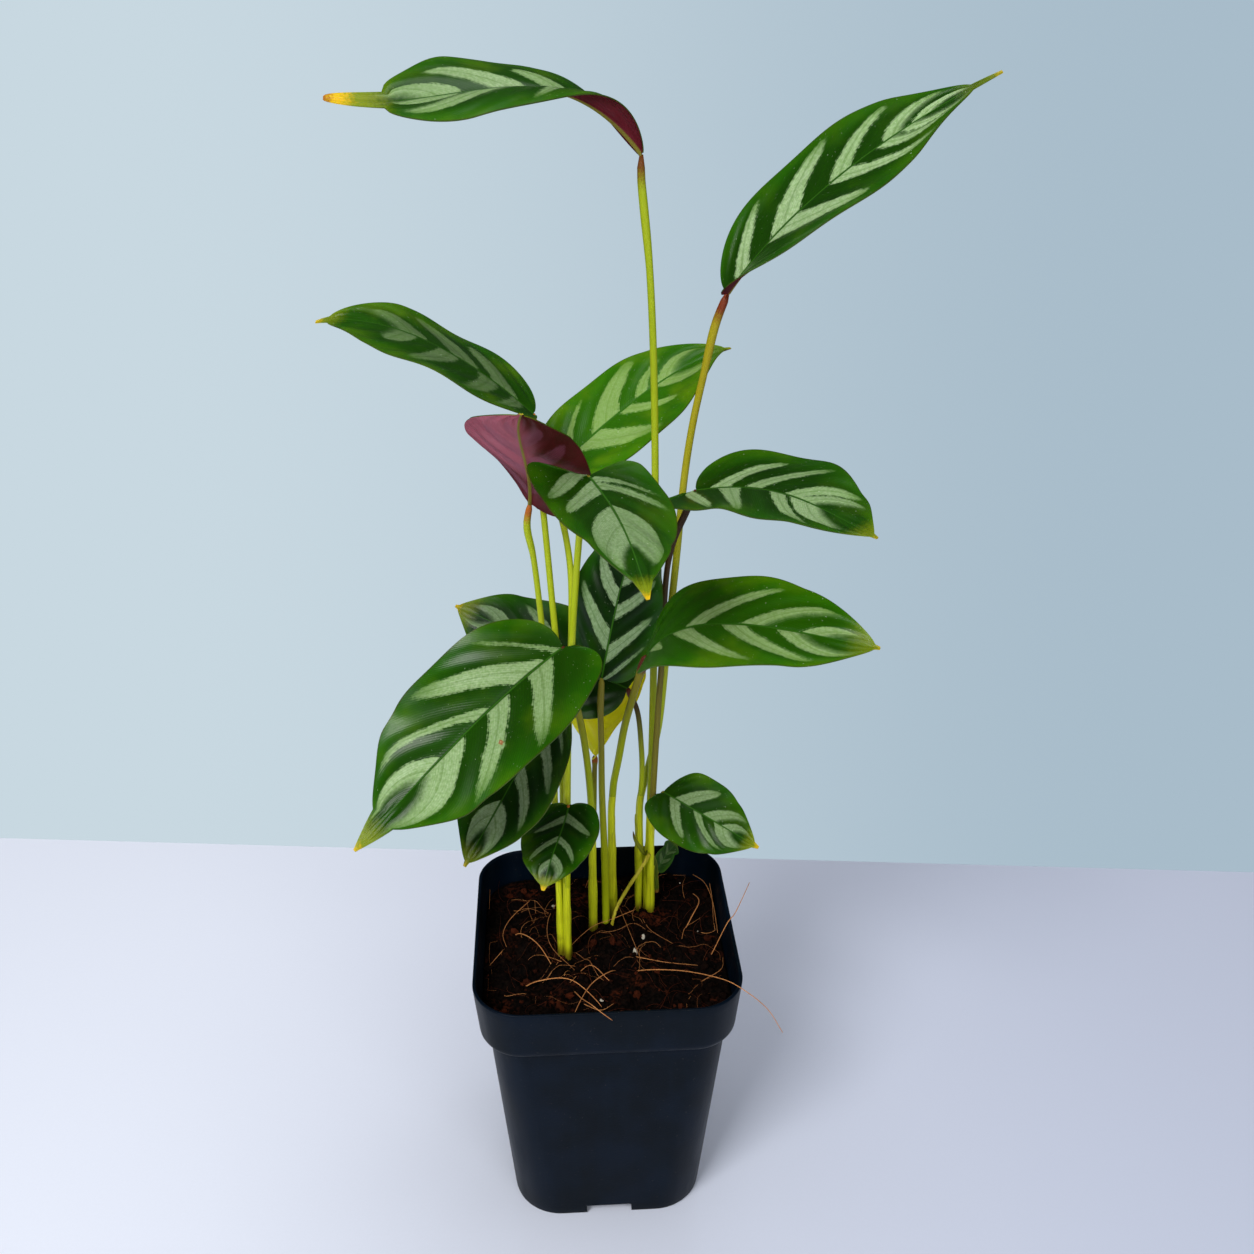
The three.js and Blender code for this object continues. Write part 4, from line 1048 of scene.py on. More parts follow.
        "silver": 0.7, "warm": 0.2, "bright": 0.12, "tip": (0.97, 0.5),
    },
    "small_heart": {
        "spine": [(-16, -18, 170), (-20, -28, 171), (-23, -35, 160)],
        "face": [(-0.2, -0.5, 0.8), (-0.1, -0.3, 1), (-0.2, -0.8, 0.6)],
        "half": 14, "round": 0.54, "taper": 0.8, "tail": (0.05, 0.9), "lobes": (0.08, 0.06),
        "folds": ((-1, 8, 4), (-8, -5, 1)), "curl": (12, -16), "waves": ((0.7, 1.4), (0.9, 2)),
        "left": [(0.08, 0.19, 0.8, -0.05), (0.37, 0.45, 0.8, 0.04), (0.61, 0.73, 0.85, -0.06)],
        "right": [(0.1, 0.2, 0.7, 0), (0.37, 0.45, 0.8, 0.1), (0.67, 0.78, 0.55, 0)],
        "silver": 0.5, "warm": 0.3, "bright": 0.1, "tip": (0.95, 0.9),
    },
    "small_right": {
        "spine": [(32, 6, 166), (45, 0, 160), (58, -6, 154)],
        "face": [(-0.3, -0.2, 0.9), (0, -0.6, 0.8), (0.2, -0.6, 0.8)],
        "half": 15, "round": 0.53, "taper": 0.81, "tail": (0.05, 0.8), "lobes": (0.05, 0.07),
        "folds": ((4, -7, -1), (6, -5, 0)), "curl": (-4, 1), "waves": ((0.9, 5), (0.8, 1.6)),
        "left": [(0.155, 0.315, 0.8, 0), (0.465, 0.595, 0.9, 0), (0.655, 0.77, 0.6, -0.03)],
        "right": [(0.1, 0.22, 0.8, 0.02), (0.37, 0.445, 0.85, 0.09), (0.59, 0.74, 0.8, -0.07)],
        "silver": 0.7, "warm": 0.25, "bright": 0.2, "tip": (0.95, 0.8),
    },
    "yellow": {
        "spine": [(2, 33, 190), (8, 43, 201), (14, 51, 214)],
        "face": [(-0.9, -0.4, 0.3), (-0.4, -0.7, 0.7), (0, -0.8, 0.5)],
        "half": 16, "round": 0.57, "taper": 0.69, "tail": (0.06, 0.9), "lobes": (0.02, 0.04),
        "folds": ((1, 8, 0), (22, 19, -5)), "curl": (-1, 34), "waves": ((1.1, 4.3), (0.8, 3.1)),
        "left": [(0.1, 0.2, 0.8, 0), (0.35, 0.45, 0.8, 0), (0.6, 0.7, 0.7, 0)],
        "right": [(0.1, 0.2, 0.8, 0), (0.35, 0.45, 0.8, 0), (0.6, 0.7, 0.7, 0)],
        "silver": 0.3, "warm": 1, "bright": 1, "tip": (0.9, 1),
    },
    "baby": {
        "spine": [(27, 42, 114), (29, 44, 118), (33, 46, 120)],
        "face": [(0.1, -0.9, 0.5), (0.1, -0.9, 0.5), (0.1, -0.9, 0.5)],
        "half": 3, "round": 0.54, "taper": 0.78, "tail": (0.05, 0.9), "lobes": (0.04, 0.05),
        "folds": ((0, 0, 0), (1, -1, -1)), "curl": (0, -1), "waves": ((0.2, 3.7), (0.2, 0.6)),
        "left": [(0.2, 0.35, 0.7, 0), (0.5, 0.65, 0.7, 0)],
        "right": [(0.2, 0.35, 0.7, 0), (0.5, 0.65, 0.7, 0)],
        "silver": 0.3, "warm": 0.4, "bright": 0.3, "tip": (0.97, 0.3),
    },
}


def smooth(value, low, high):
    """Goes smoothly from 0 to 1 as value goes from low to high."""
    t = np.clip((value - low) / (high - low), 0, 1)
    return t * t * (3 - 2 * t)


def blend(u, values):
    """Blend of the values at the base, the middle and the tip of a leaf."""
    v = np.clip(u, 0, 1)
    near_base, near_tip = (1 - v) ** 3, v ** 3
    at_base, at_middle, at_tip = values
    return at_base * near_base + at_middle * (1 - near_base - near_tip) + at_tip * near_tip


def unit(vectors):
    return vectors / np.linalg.norm(vectors, axis=-1, keepdims=True)


def half_widths(leaf, x):
    """Half the blade's width at the shares x of its length."""
    round_of, taper_of = leaf["round"], leaf["taper"]
    total = round_of + taper_of
    full = (round_of / total) ** round_of * (taper_of / total) ** taper_of
    tail, tail_half = leaf["tail"]
    body = np.minimum(1, x / (1 - tail))
    bow = leaf["half"] * body ** round_of * (1 - body) ** taper_of / full
    bow = bow * (1 - POINT * smooth(body, 0.74, 1))
    drip = tail_half * ((1 - x) / tail) ** leaf.get("blunt", 1) * smooth(x, 1 - tail - TAIL_BLEND, 1 - tail)
    return mix(BASE_HALF_WIDTH, TIP_HALF_WIDTH, x) + bow + drip


def along_spine(spine, u):
    """Places and directions at the shares u of a midrib, which runs straight on past its ends."""
    a, b, c, d = np.array(spine, dtype=float)
    t = np.clip(u, 0, 1)[..., None]
    place = a * (1 - t) ** 3 + 3 * b * (1 - t) ** 2 * t + 3 * c * (1 - t) * t ** 2 + d * t ** 3
    ahead = 3 * (b - a) * (1 - t) ** 2 + 6 * (c - b) * (1 - t) * t + 3 * (d - c) * t ** 2
    return place + ahead * (u[..., None] - t), unit(ahead)


def blade_grid(leaf, spine):
    """The blade's middle surface: its points, u along the midrib, s across from -1 to 1, half-widths."""
    row = mix(FIRST_ROW, 1, np.linspace(0, 1, LEAF_ROWS + 1))[:, None]
    half_steps = np.linspace(0, 1, HALF_COLUMNS + 1) ** 1.15
    s = np.concatenate([-half_steps[:0:-1], half_steps])[None, :]
    m = np.abs(s)
    left = s < 0
    x = (1 - np.cos(math.pi * row)) / 2
    width = half_widths(leaf, x)
    lobe = np.sin(math.pi * np.minimum(1, row / LOBE_REACH))
    lobe = np.where(row < LOBE_REACH / 2, lobe, lobe ** 2)
    u = x ** MIDRIB_LAG * (1 - m) + (x - np.where(left, *leaf["lobes"]) * lobe) * m
    point, forward = along_spine(spine, u)
    up = np.stack([blend(u, parts) for parts in zip(*leaf["face"])], axis=-1)
    up = unit(up - (up * forward).sum(axis=-1, keepdims=True) * forward)
    right = np.cross(forward, up)
    fold = np.where(left, *(blend(u, angles) for angles in leaf["folds"]))
    angle = np.radians(fold + np.where(left, *leaf["curl"]) * m / 2)
    point = point + (width * s * np.cos(angle))[..., None] * right
    point = point + (width * m * np.sin(angle))[..., None] * up
    height, start = (np.where(left, *pair) for pair in zip(*leaf["waves"]))
    wave = height * m ** 2 * np.sin(2 * math.pi * WAVES_PER_BLADE * u + start)
    point = point + (wave * np.minimum(1, (1 - x) / WAVE_FADE))[..., None] * up
    return point, u, np.broadcast_to(s, u.shape), np.broadcast_to(width, u.shape)


def blade_points(leaf, point, u, s, width, vein):
    """The upper and the lower face, quilted, with the midrib as a groove above and a ridge below."""
    normal = unit(np.cross(np.gradient(point, axis=1), np.gradient(point, axis=0)))
    m = np.abs(s)
    across = s * width
    size = leaf["half"] / COMMON_HALF
    spread = smooth(m, 0.02, 0.3) * (1 - smooth(m, 0.8, 1)) * smooth(u, 0, 0.1) * (1 - smooth(u, 0.85, 1))
    quilt = QUILT * size * np.cos(2 * math.pi * FOLDS_PER_BLADE * vein) * spread
    groove = GROOVE * size * np.exp(-(across / GROOVE_HALF) ** 2) * (1 - 0.7 * u)
    ridge = RIDGE * size * np.exp(-(across / RIDGE_HALF) ** 2) * (1 - 0.8 * u)
    middle = point + (quilt - groove)[..., None] * normal
    top = middle + LEAF_THICKNESS / 2 * normal
    bottom = middle - (LEAF_THICKNESS / 2 + ridge)[..., None] * normal
    return np.concatenate([top.reshape(-1, 3), bottom.reshape(-1, 3)])


def band_depth(leaf, vein, s):
    """For each point: how deep it lies in the nearest band, how far from its middle, and which it is."""
    m = np.abs(s)
    best = np.full(s.shape, -1.0)
    off = np.zeros(s.shape)
    which = np.zeros(s.shape)
    for side, bands in ((-1, leaf["left"]), (1, leaf["right"])):
        for number, (start, end, reach, slant) in enumerate(bands):
            aside = vein - slant * m - (start + end) / 2
            half = (end - start) / 2 * np.sqrt(np.clip(1 - (m / reach) ** 4, 0, 1))
            depth = half - np.abs(aside) - 0.15 * np.maximum(0, m - reach)
            nearer = (depth > best) & ((s < 0) == (side < 0))
            best = np.where(nearer, depth, best)
            off = np.where(nearer, aside, off)
            which = np.where(nearer, number * side, which)
    return best, off, which


def leaf_marks(leaf, point, u, s, width, vein, number):
    """What the leaves' materials read, by name: three numbers for each point of the blade."""
    length = distances(point[:, HALF_COLUMNS])[-1]
    along = u * length
    across = s * width
    right_half = smooth(s, -0.5, 0.15)
    pink_and_painted_light = leaf.get("pink_and_painted_light", 0)
    spot_u, spot_s = leaf.get("spot", (-1, 0))
    from_spot = np.hypot(along - spot_u * length, across - spot_s * width)
    return {
        "leaf": (u, s, vein),
        "flat": (along, across, number * 17.0),
        "tone": (leaf["silver"], leaf["warm"], leaf["bright"]),
        "tip": (*leaf["tip"], 0),
        "band": band_depth(leaf, vein, s),
        # The lighter pink half, partly painted light, the painted shade on the other half, and the distance
        # from the bitten spot.
        "marks_and_painted_light": (pink_and_painted_light * right_half * smooth(u, 0.15, 0.4), pink_and_painted_light * (1 - right_half), from_spot),
    }


def make_leaf(name, leaf, upper, under, number):
    """A leaf with its two materials, and its number, from which its random markings follow."""
    point, u, s, width = blade_grid(leaf, [STALKS[name][1], *leaf["spine"]])
    vein = u - LEAD * np.abs(s) ** LEAD_POWER
    rows, columns = u.shape
    faces = sheet_faces(rows, columns)
    piece = make_piece("leaf_" + name, blade_points(leaf, point, u, s, width, vein), faces, [upper, under])
    one_side = (rows - 1) * (columns - 1)
    slots = np.zeros(len(faces), dtype=int)
    slots[one_side:2 * one_side] = 1
    piece.data.polygons.foreach_set("material_index", slots)
    piece.data.set_sharp_from_angle(angle=math.radians(50))
    for label, parts in leaf_marks(leaf, point, u, s, width, vein, number).items():
        values = np.stack([np.broadcast_to(part, u.shape).ravel() for part in parts], axis=1)
        store(piece, label, np.concatenate([values, values]))
    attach(piece, "root")
    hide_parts("blade_" + name)


def scaled(tree, value, factor, start):
    """Start plus so many times the value."""
    return calc(tree, "MULTIPLY_ADD", value, factor, start)


def swing(tree, noise, size):
    """Noise from 0 to 1 as a swing of that size about 0."""
    return times(tree, calc(tree, "SUBTRACT", noise, 0.5), size)


def chance(tree, value, seed):
    """A random number from 0 to 1 that stays the same over each whole number of value."""
    joined = tree.nodes.new("ShaderNodeCombineXYZ")
    feed(tree, joined.inputs[0], value)
    feed(tree, joined.inputs[1], seed)
    node = tree.nodes.new("ShaderNodeTexWhiteNoise")
    tree.links.new(joined.outputs[0], node.inputs["Vector"])
    return node.outputs["Value"]


def leaf_pattern(tree):
    """By name: shares of silver band, fine veins and main vein, and the places that they follow."""
    u, s, vein, _ = stored(tree, "leaf")
    _, across, number, flat = stored(tree, "flat")
    depth, off, which, _ = stored(tree, "band")
    m = calc(tree, "ABSOLUTE", s)
    ripple = calc(tree, "SINE", times(tree, vein, FINE_VEINS))
    bend = swing(tree, grain(tree, flat, 0.12, 2), 0.03)
    jag = plus(tree, swing(tree, grain(tree, flat, 0.9, 3), 0.03), times(tree, ripple, 0.004))
    ragged = plus(tree, plus(tree, depth, bend), jag)
    blur = times(tree, fade(tree, off, 0, 0.03), fade(tree, vein, 0.5, 0.66, 0, 0.055))
    crisp = scaled(tree, m, 0.014, 0.006)
    band = fade(tree, ragged, scaled(tree, blur, -0.4, -0.006), plus(tree, crisp, blur))
    band = times(tree, band, fade(tree, m, 0.012, 0.035))
    band = times(tree, band, fade(tree, m, 0.65, 0.95, 1, 0.5))
    thick = scaled(tree, grain(tree, flat, 0.3, 1), 0.006, 0.001)
    main_vein = fade(tree, calc(tree, "ABSOLUTE", off), thick, plus(tree, thick, 0.004), 1, 0)
    return {
        "u": u, "m": m, "across": calc(tree, "ABSOLUTE", across), "flat": flat, "depth": depth,
        "band": band, "lines": scaled(tree, ripple, 0.5, 0.5), "main_vein": main_vein,
        "chance": chance(tree, which, number),
    }


def midrib(tree, pattern, narrowing, base_half):
    """Share of midrib, which narrows from its half-width at the base towards the tip."""
    half = scaled(tree, pattern["u"], -narrowing, base_half)
    return fade(tree, pattern["across"], times(tree, half, 0.5), half, 1, 0)


def leaf_green(tree, pattern, warm, bright):
    """Dark green, lighter at the margin and away from the bands, yellowish in clouds where warm."""
    m = pattern["m"]
    cloudy = grain(tree, pattern["flat"], 0.06, 3)
    away = fade(tree, pattern["depth"], -0.1, -0.02, 1, 0)
    lift = scaled(tree, fade(tree, m, 0.5, 1), 0.42, times(tree, away, 0.12))
    lift = plus(tree, lift, times(tree, bright, 0.7))
    lift = plus(tree, lift, swing(tree, cloudy, 0.35))
    lift = times(tree, lift, scaled(tree, pattern["lines"], 0.4, 0.7))
    green = tint(tree, lift, paint(0, 22, 0), paint(34, 98, 0))
    green = tint(tree, times(tree, bright, 0.36), green, paint(74, 146, 0))
    yellowing = times(tree, warm, fade(tree, scaled(tree, m, 0.25, cloudy), 0.6, 0.95))
    return tint(tree, yellowing, green, paint(112, 146, 4))


def leaf_silver(tree, pattern, fine, bright):
    """Pale grey-green, no two bands alike, with darker veins and a greener end at the margin."""
    pale = tint(tree, fade(tree, fine, 0.3, 0.7), paint(134, 162, 118), paint(170, 194, 156))
    for amount, share, color in (
        (pattern["chance"], 0.35, paint(96, 134, 78)),
        (pattern["lines"], 0.25, paint(76, 116, 54)),
        (pattern["main_vein"], 0.35, paint(48, 88, 30)),
        (fade(tree, pattern["m"], 0.5, 1), 0.5, paint(76, 126, 22)),
        (bright, 0.7, paint(150, 190, 60)),
    ):
        pale = tint(tree, times(tree, amount, share), pale, color)
    return pale


def with_blemishes(tree, pattern, fine, color):
    """A bitten spot, pale specks, a thin reddish edge, and a tip that goes lime, ochre and brown."""
    bite = plus(tree, stored(tree, "marks_and_painted_light")[2], scaled(tree, fine, 1.6, -0.8))
    color = tint(tree, fade(tree, bite, 0.7, 1.2, 0.9, 0), color, paint(146, 84, 46))
    color = tint(tree, fade(tree, bite, 0.2, 0.6, 0.9, 0), color, paint(196, 160, 120))
    specks = fade(tree, grain(tree, pattern["flat"], 1.7, 1), 0.76, 0.79, 0, 0.7)
    color = tint(tree, specks, color, paint(190, 206, 178))
    edge = fade(tree, scaled(tree, fine, 0.03, pattern["m"]), 0.985, 1.02, 0, 0.45)
    color = tint(tree, edge, color, paint(64, 40, 16))
    start, strength, *_ = stored(tree, "tip")
    withered = calc(tree, "SUBTRACT", plus(tree, pattern["u"], swing(tree, fine, 0.06)), start)
    for low, high, share, stain in (
        (-0.12, -0.01, 0.8, paint(134, 148, 18)),
        (-0.01, 0.04, 1, paint(222, 182, 16)),
        (0.05, 0.075, 0.8, paint(150, 74, 18)),
    ):
        color = tint(tree, times(tree, fade(tree, withered, low, high, 0, share), strength), color, stain)
    return color


def upper_material():
    """Silver bands over green, the pale midrib on top, then the leaf's blemishes."""
    material, tree, surface = new_material("leaf_upper", 0.34, 0.22)
    pattern = leaf_pattern(tree)
    silver, warm, bright, _ = stored(tree, "tone")
    fine = grain(tree, pattern["flat"], 1.1, 3)
    shown = times(tree, pattern["band"], silver)
    green = leaf_green(tree, pattern, warm, bright)
    color = tint(tree, shown, green, leaf_silver(tree, pattern, fine, bright))
    color = tint(tree, times(tree, midrib(tree, pattern, 0.3, 0.42), 0.7), color, paint(52, 104, 22))
    color = with_blemishes(tree, pattern, fine, color)
    tree.links.new(color, surface.inputs["Base Color"])
    tree.links.new(scaled(tree, fine, 0.12, scaled(tree, shown, 0.08, 0.24)), surface.inputs["Roughness"])
    let_light_in(surface, 0.05, (0.4, 1.0, 0.15), 0.0006)
    height = plus(tree, times(tree, pattern["lines"], 0.5), times(tree, fine, 0.5))
    raise_surface(tree, surface, height, 0.00004, 0.8)
    return material


def under_material():
    """Burgundy, cloudy, with the bands showing through faintly and an olive midrib. On the pink leaf, one
    half is lighter pink, partly painted light, and the other half is darkened with painted shade.
    """
    material, tree, surface = new_material("leaf_under", 0.42, 0.15)
    pattern = leaf_pattern(tree)
    pink_and_painted_light, shade, *_ = stored(tree, "marks_and_painted_light")
    cloudy = grain(tree, pattern["flat"], 0.06, 3)
    color = tint(tree, fade(tree, cloudy, 0.3, 0.7), paint(84, 10, 20), paint(118, 28, 42))
    # The lighter pink half underneath: partly the leaf's own pink, partly painted light.
    color = tint(tree, pink_and_painted_light, color, tint(tree, cloudy, paint(150, 50, 72), paint(200, 116, 132)))
    # Painted shade: the other half darkened towards a deep brown-red.
    color = tint(tree, times(tree, shade, 0.6), color, paint(58, 16, 12))
    color = tint(tree, times(tree, pattern["band"], 0.45), color, paint(140, 78, 100))
    color = tint(tree, times(tree, pattern["lines"], 0.25), color, paint(64, 22, 34))
    color = tint(tree, midrib(tree, pattern, 0.5, 0.85), color, paint(128, 118, 42))
    tree.links.new(color, surface.inputs["Base Color"])
    let_light_in(surface, 0.06, (1.0, 0.3, 0.4), 0.0006)
    raise_surface(tree, surface, pattern["lines"], 0.00003, 0.8)
    return material


def yellow_material():
    """The dying leaf, bright yellow on both sides, with faint bands and a brown edge."""
    material, tree, surface = new_material("leaf_yellowed", 0.45, 0.2)
    pattern = leaf_pattern(tree)
    cloudy = grain(tree, pattern["flat"], 0.09, 3)
    color = tint(tree, fade(tree, cloudy, 0.35, 0.65), paint(250, 250, 8), paint(250, 236, 4))
    color = tint(tree, times(tree, pattern["band"], 0.4), color, paint(250, 232, 70))
    color = tint(tree, times(tree, pattern["lines"], 0.2), color, paint(214, 176, 12))
    color = tint(tree, fade(tree, pattern["m"], 0.96, 1, 0, 0.35), color, paint(150, 84, 26))
    tree.links.new(color, surface.inputs["Base Color"])
    let_light_in(surface, 0.6, (1.0, 0.85, 0.1), 0.004)
    raise_surface(tree, surface, pattern["lines"], 0.00003, 0.8)
    return material


leaf_sides = (upper_material(), under_material())
yellowed = yellow_material()
for number, (name, leaf) in enumerate(LEAVES.items(), 1):
    upper, under = (yellowed, yellowed) if name == "yellow" else leaf_sides
    make_leaf(name, leaf, upper, under, number)


# Dried stem
# The stalk of a leaf that has withered away, dry, straw-coloured and furrowed. Its foot is still in the
# soil, and its top leans against the right-hand stems.
DRY_STEM = [
    (3, 14, 93), (3.8, 14.5, 103), (5.8, 15.5, 111), (10.4, 16.6, 120), (15.2, 17.5, 128), (19, 18.2, 135),
]
DRY_STEM_RADII = (0.6, 0.8)
DRY_STEM_STEPS = 60
THIN_SIDES = 12


def straw_material():
    """Yellow-green straw with brown blotches."""
    material, tree, surface = new_material("dry_straw", 0.7)
    place = object_place(tree)
    streaks = grain(tree, place, 300, 4, stretch=(1, 1, 0.3))
    color = tint(tree, fade(tree, streaks, 0.35, 0.65), paint(176, 164, 22), paint(216, 206, 60))
    color = tint(tree, fade(tree, grain(tree, place, 700, 2), 0.6, 0.7, 0, 0.7), color, paint(110, 66, 26))
    tree.links.new(color, surface.inputs["Base Color"])
    raise_surface(tree, surface, streaks, 0.0003)
    return material


dry_path, dry_along = curve_through(DRY_STEM, DRY_STEM_STEPS)
knobs = 0.08 * np.sin(dry_along * 2.1) * np.sin(dry_along * 0.9)
dry_radii = mix(*DRY_STEM_RADII, dry_along / dry_along[-1]) + knobs
dry_stem = make_piece("dried_stem", *tube(dry_path, dry_radii, THIN_SIDES), [straw_material()])
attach(dry_stem, "root")
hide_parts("dry_stem")


# Curled leaflet
# A small young leaf has curled up lengthwise where it hangs, dull olive with a paler edge, against the
# right-hand stems just above the soil.
LEAFLET_SPINE = [(18.7, 22, 134), (20.6, 22.2, 128), (21.4, 21.8, 120), (22.6, 22, 113)]
LEAFLET_HALF = 2.1
LEAFLET_THICKNESS = 0.5
LEAFLET_ROLL = 2.4
LEAFLET_STEPS = 40
LEAFLET_COLUMNS = 15


def leaflet_material():
    """Dull olive with a paler edge and a brown tip."""
    material, tree, surface = new_material("curled_leaflet", 0.5, 0.2)
    along, around, _, place = stored(tree, "leaflet")
    veins = grain(tree, place, 1, 3, stretch=(2, 14, 1))
    color = tint(tree, fade(tree, veins, 0.35, 0.65), paint(40, 66, 10), paint(96, 112, 26))
    edge = fade(tree, calc(tree, "ABSOLUTE", around), 0.7, 1, 0, 0.8)
    color = tint(tree, edge, color, paint(150, 150, 60))
    color = tint(tree, fade(tree, along, 0.88, 1), color, paint(140, 96, 40))
    tree.links.new(color, surface.inputs["Base Color"])
    raise_surface(tree, surface, veins, 0.0001)
    return material


def leaflet():
    """A lens-shaped blade rolled about its length: its points and faces, and the values for its material."""
    path, distance = curve_through(LEAFLET_SPINE, LEAFLET_STEPS)
    along = distance / distance[-1]
    around = np.linspace(-1, 1, LEAFLET_COLUMNS)
    half = LEAFLET_HALF * np.sqrt(np.clip(np.sin(math.pi * mix(0.04, 0.97, along)), 0, 1))
    ahead = unit(np.gradient(path, axis=0))
    aside = unit(np.cross(ahead, (0, 1, 0)))
    out = np.cross(aside, ahead)
    angle = around[None, :] * LEAFLET_ROLL / 2
    radius = (half / (LEAFLET_ROLL / 2))[:, None]
    sides = []
    for lift in (LEAFLET_THICKNESS / 2, -LEAFLET_THICKNESS / 2):
        across, depth = (radius + lift) * np.sin(angle), (radius + lift) * np.cos(angle) - radius
        side = path[:, None] + across[..., None] * aside[:, None] - depth[..., None] * out[:, None]
        sides.append(side.reshape(-1, 3))
    grid_along, grid_around = (grid.ravel() for grid in np.meshgrid(along, around, indexing="ij"))
    values = np.stack([grid_along, grid_around, grid_along], axis=-1)
    faces = sheet_faces(LEAFLET_STEPS, LEAFLET_COLUMNS)
    return np.concatenate(sides), faces, np.concatenate([values, values])


leaflet_points, leaflet_faces, leaflet_values = leaflet()
curled = make_piece("curled_leaflet", leaflet_points, leaflet_faces, [leaflet_material()])
store(curled, "leaflet", leaflet_values)
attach(curled, "root")


# Bud
# A small pointed bud of soft young tissue, green with a brown tip. It grows out of the left side of the
# right-hand stems.
BUD = [(17.4, 22.4, 132), (15.2, 22.4, 136), (13.4, 22.6, 139.6), (12.7, 23, 143)]
BUD_RADIUS = 0.9
BUD_STEPS = 24
BUD_BROWN = (139, 143)


def bud_material():
    """Green, turning brown over the heights of BUD_BROWN."""
    material, tree, surface = new_material("bud", 0.5, 0.2)
    place = object_place(tree)
    height = split(tree, place)[2]
    streaks = grain(tree, place, 500, 3, stretch=(1, 1, 0.3))
    color = tint(tree, streaks, paint(84, 100, 18), paint(150, 156, 40))
    start, end = BUD_BROWN
    color = tint(tree, fade(tree, height, start * MM, end * MM), color, paint(84, 46, 20))
    tree.links.new(color, surface.inputs["Base Color"])
    raise_surface(tree, surface, streaks, 0.0001)
    return material


bud_path, bud_along = curve_through(BUD, BUD_STEPS)
bud_radii = BUD_RADIUS * np.sin(math.pi * mix(0.25, 0.99, bud_along / bud_along[-1])) ** 0.8
bud = make_piece("stem_bud", *tube(bud_path, bud_radii, THIN_SIDES), [bud_material()])
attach(bud, "root")


# Stage, light and camera
# The plant stands on a white cloth whose far edge meets a pale blue-grey background, painted darker to the
# right as shade away from the light, in soft light from the upper left with a weaker cool light from behind.
FLOOR_LEFT = -2.3
FLOOR_RIGHT = 2.2
FLOOR_NEAR = -2.4
FLOOR_FAR_AT_LEFT = 0.4404
FLOOR_FAR_AT_RIGHT = -0.0217
# The background's colour at the left and at the right. The darker right is painted shade, away from the
# light.
BACKGROUND_LEFT = paint(200, 216, 225)
BACKGROUND_RIGHT = paint(168, 188, 202)


def cloth_material():
    """White, cooler and darker to the right, away from the light."""
    material, tree, surface = new_material("white_cloth", 0.9)
    place = object_place(tree)
    to_right = fade(tree, split(tree, place)[0], -0.25, 0.3)
    color = tint(tree, to_right, paint(232, 237, 252), paint(196, 203, 224))
    color = tint(tree, times(tree, grain(tree, place, 900, 2), 0.05), color, paint(150, 155, 160))
    tree.links.new(color, surface.inputs["Base Color"])
    return material


floor_corners = [
    (FLOOR_LEFT, FLOOR_NEAR, 0), (FLOOR_RIGHT, FLOOR_NEAR, 0),
    (FLOOR_RIGHT, FLOOR_FAR_AT_RIGHT, 0), (FLOOR_LEFT, FLOOR_FAR_AT_LEFT, 0),
]
cloth = make_piece("floor", np.array(floor_corners) / MM, [(0, 1, 2, 3)], [cloth_material()], smooth=False)


def area_light(name, place, target, size, power, color, mirrored=True):
    """A square lamp aimed at a target. Glossy surfaces show it only where it is mirrored."""
    light = bpy.data.lights.new(name, "AREA")
    light.size = size
    light.energy = power
    light.color = color
    lamp = bpy.data.objects.new(name, light)
    lamp.location = place
    lamp.visible_camera = False
    lamp.visible_glossy = mirrored
    lamp.rotation_euler = (Vector(target) - Vector(place)).to_track_quat("-Z", "Y").to_euler()
    bpy.context.scene.collection.objects.link(lamp)


area_light("key_light", (-0.75, -1.1, 1.45), (0, 0, 0.25), 0.7, 24.5, (1.0, 0.99, 0.96))
area_light("fill_light", (0.5, -1.3, 0.7), (0, 0, 0.2), 0.8, 6, (1.0, 0.98, 0.95))
area_light("top_light", (0.1, 0.02, 1.5), (0, 0, 0.2), 0.6, 4, (0.98, 0.99, 1.0))
area_light("back_light", (0.1, 1.5, 0.95), (0, 0, 0.25), 1.0, 3.5, (0.88, 0.94, 1.0), mirrored=False)

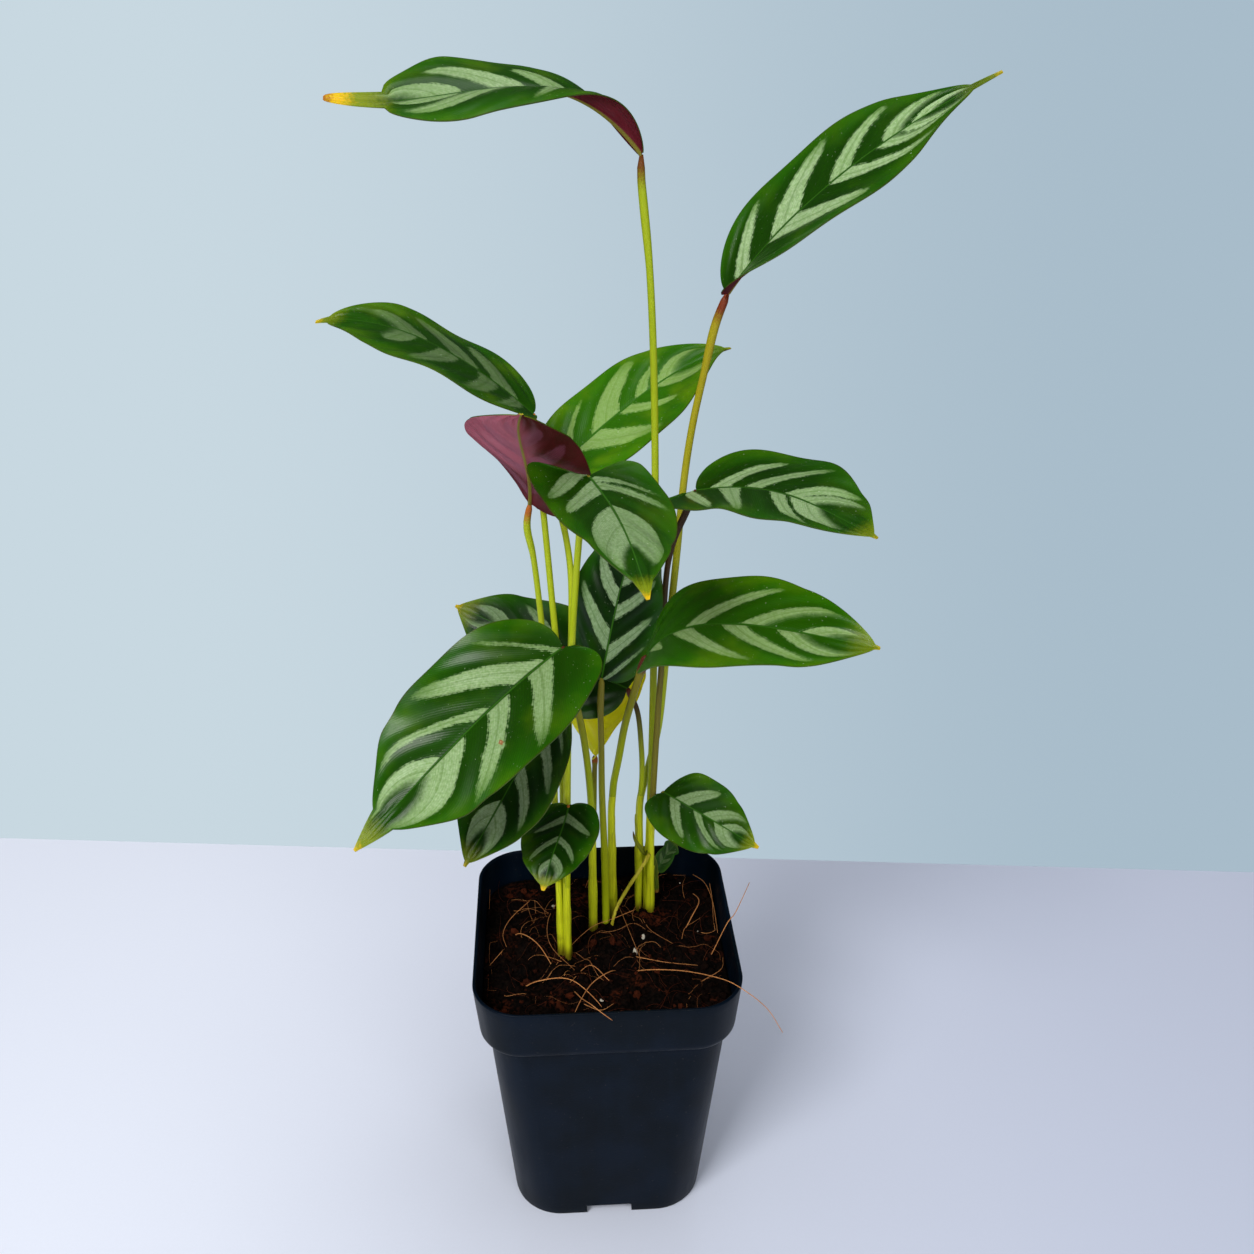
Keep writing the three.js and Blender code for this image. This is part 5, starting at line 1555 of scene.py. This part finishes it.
SOFT_LIGHT = 0.26
MIRRORED_LIGHT = 0.05
world = bpy.data.worlds.new("soft_daylight")
world.use_nodes = True
sky = world.node_tree
ray = sky.nodes.new("ShaderNodeLightPath").outputs
for_light = sky.nodes["Background"]
for_light.inputs["Color"].default_value = (0.93, 0.97, 1.0, 1.0)
strength = scaled(sky, ray["Is Glossy Ray"], MIRRORED_LIGHT - SOFT_LIGHT, SOFT_LIGHT)
sky.links.new(strength, for_light.inputs["Strength"])
for_camera = sky.nodes.new("ShaderNodeBackground")
sideways = split(sky, sky.nodes.new("ShaderNodeTexCoord").outputs["Generated"])[0]
# Painted shade: the background darkens from left to right, away from the light at the upper left.
backdrop = tint(sky, fade(sky, sideways, -0.3, 0.45), BACKGROUND_LEFT, BACKGROUND_RIGHT)
sky.links.new(backdrop, for_camera.inputs["Color"])
by_ray = sky.nodes.new("ShaderNodeMixShader")
sky.links.new(ray["Is Camera Ray"], by_ray.inputs["Fac"])
sky.links.new(for_light.outputs["Background"], by_ray.inputs[1])
sky.links.new(for_camera.outputs["Background"], by_ray.inputs[2])
sky.links.new(by_ray.outputs["Shader"], sky.nodes["World Output"].inputs["Surface"])
bpy.context.scene.world = world
bpy.context.scene.view_settings.view_transform = "Standard"

# The camera as solved from the pot's edges, with its focal length in pixels of the photograph.
CAMERA_PLACE = (-0.01799, -0.40386, 0.44475)
CAMERA_TURN = math.radians(3.7377)
CAMERA_PITCH = math.radians(26.2695)
CAMERA_ROLL = math.radians(0.2903)
FOCAL_PIXELS = 1300
FRAME_PIXELS = 1254
SENSOR_WIDTH = 36
camera_data = bpy.data.cameras.new("camera")
camera_data.sensor_width = SENSOR_WIDTH
camera_data.lens = SENSOR_WIDTH * FOCAL_PIXELS / FRAME_PIXELS
camera_data.clip_start = 0.01
camera = bpy.data.objects.new("camera", camera_data)
look = Vector((
    math.sin(CAMERA_TURN) * math.cos(CAMERA_PITCH),
    math.cos(CAMERA_TURN) * math.cos(CAMERA_PITCH),
    -math.sin(CAMERA_PITCH),
))
level = Vector((math.cos(CAMERA_TURN), -math.sin(CAMERA_TURN), 0))
rise = level.cross(look)
right_hand = level * math.cos(CAMERA_ROLL) + rise * math.sin(CAMERA_ROLL)
upward = rise * math.cos(CAMERA_ROLL) - level * math.sin(CAMERA_ROLL)
turned = Matrix((right_hand, upward, -look)).transposed().to_4x4()
camera.matrix_world = Matrix.Translation(CAMERA_PLACE) @ turned
bpy.context.scene.collection.objects.link(camera)
bpy.context.scene.camera = camera
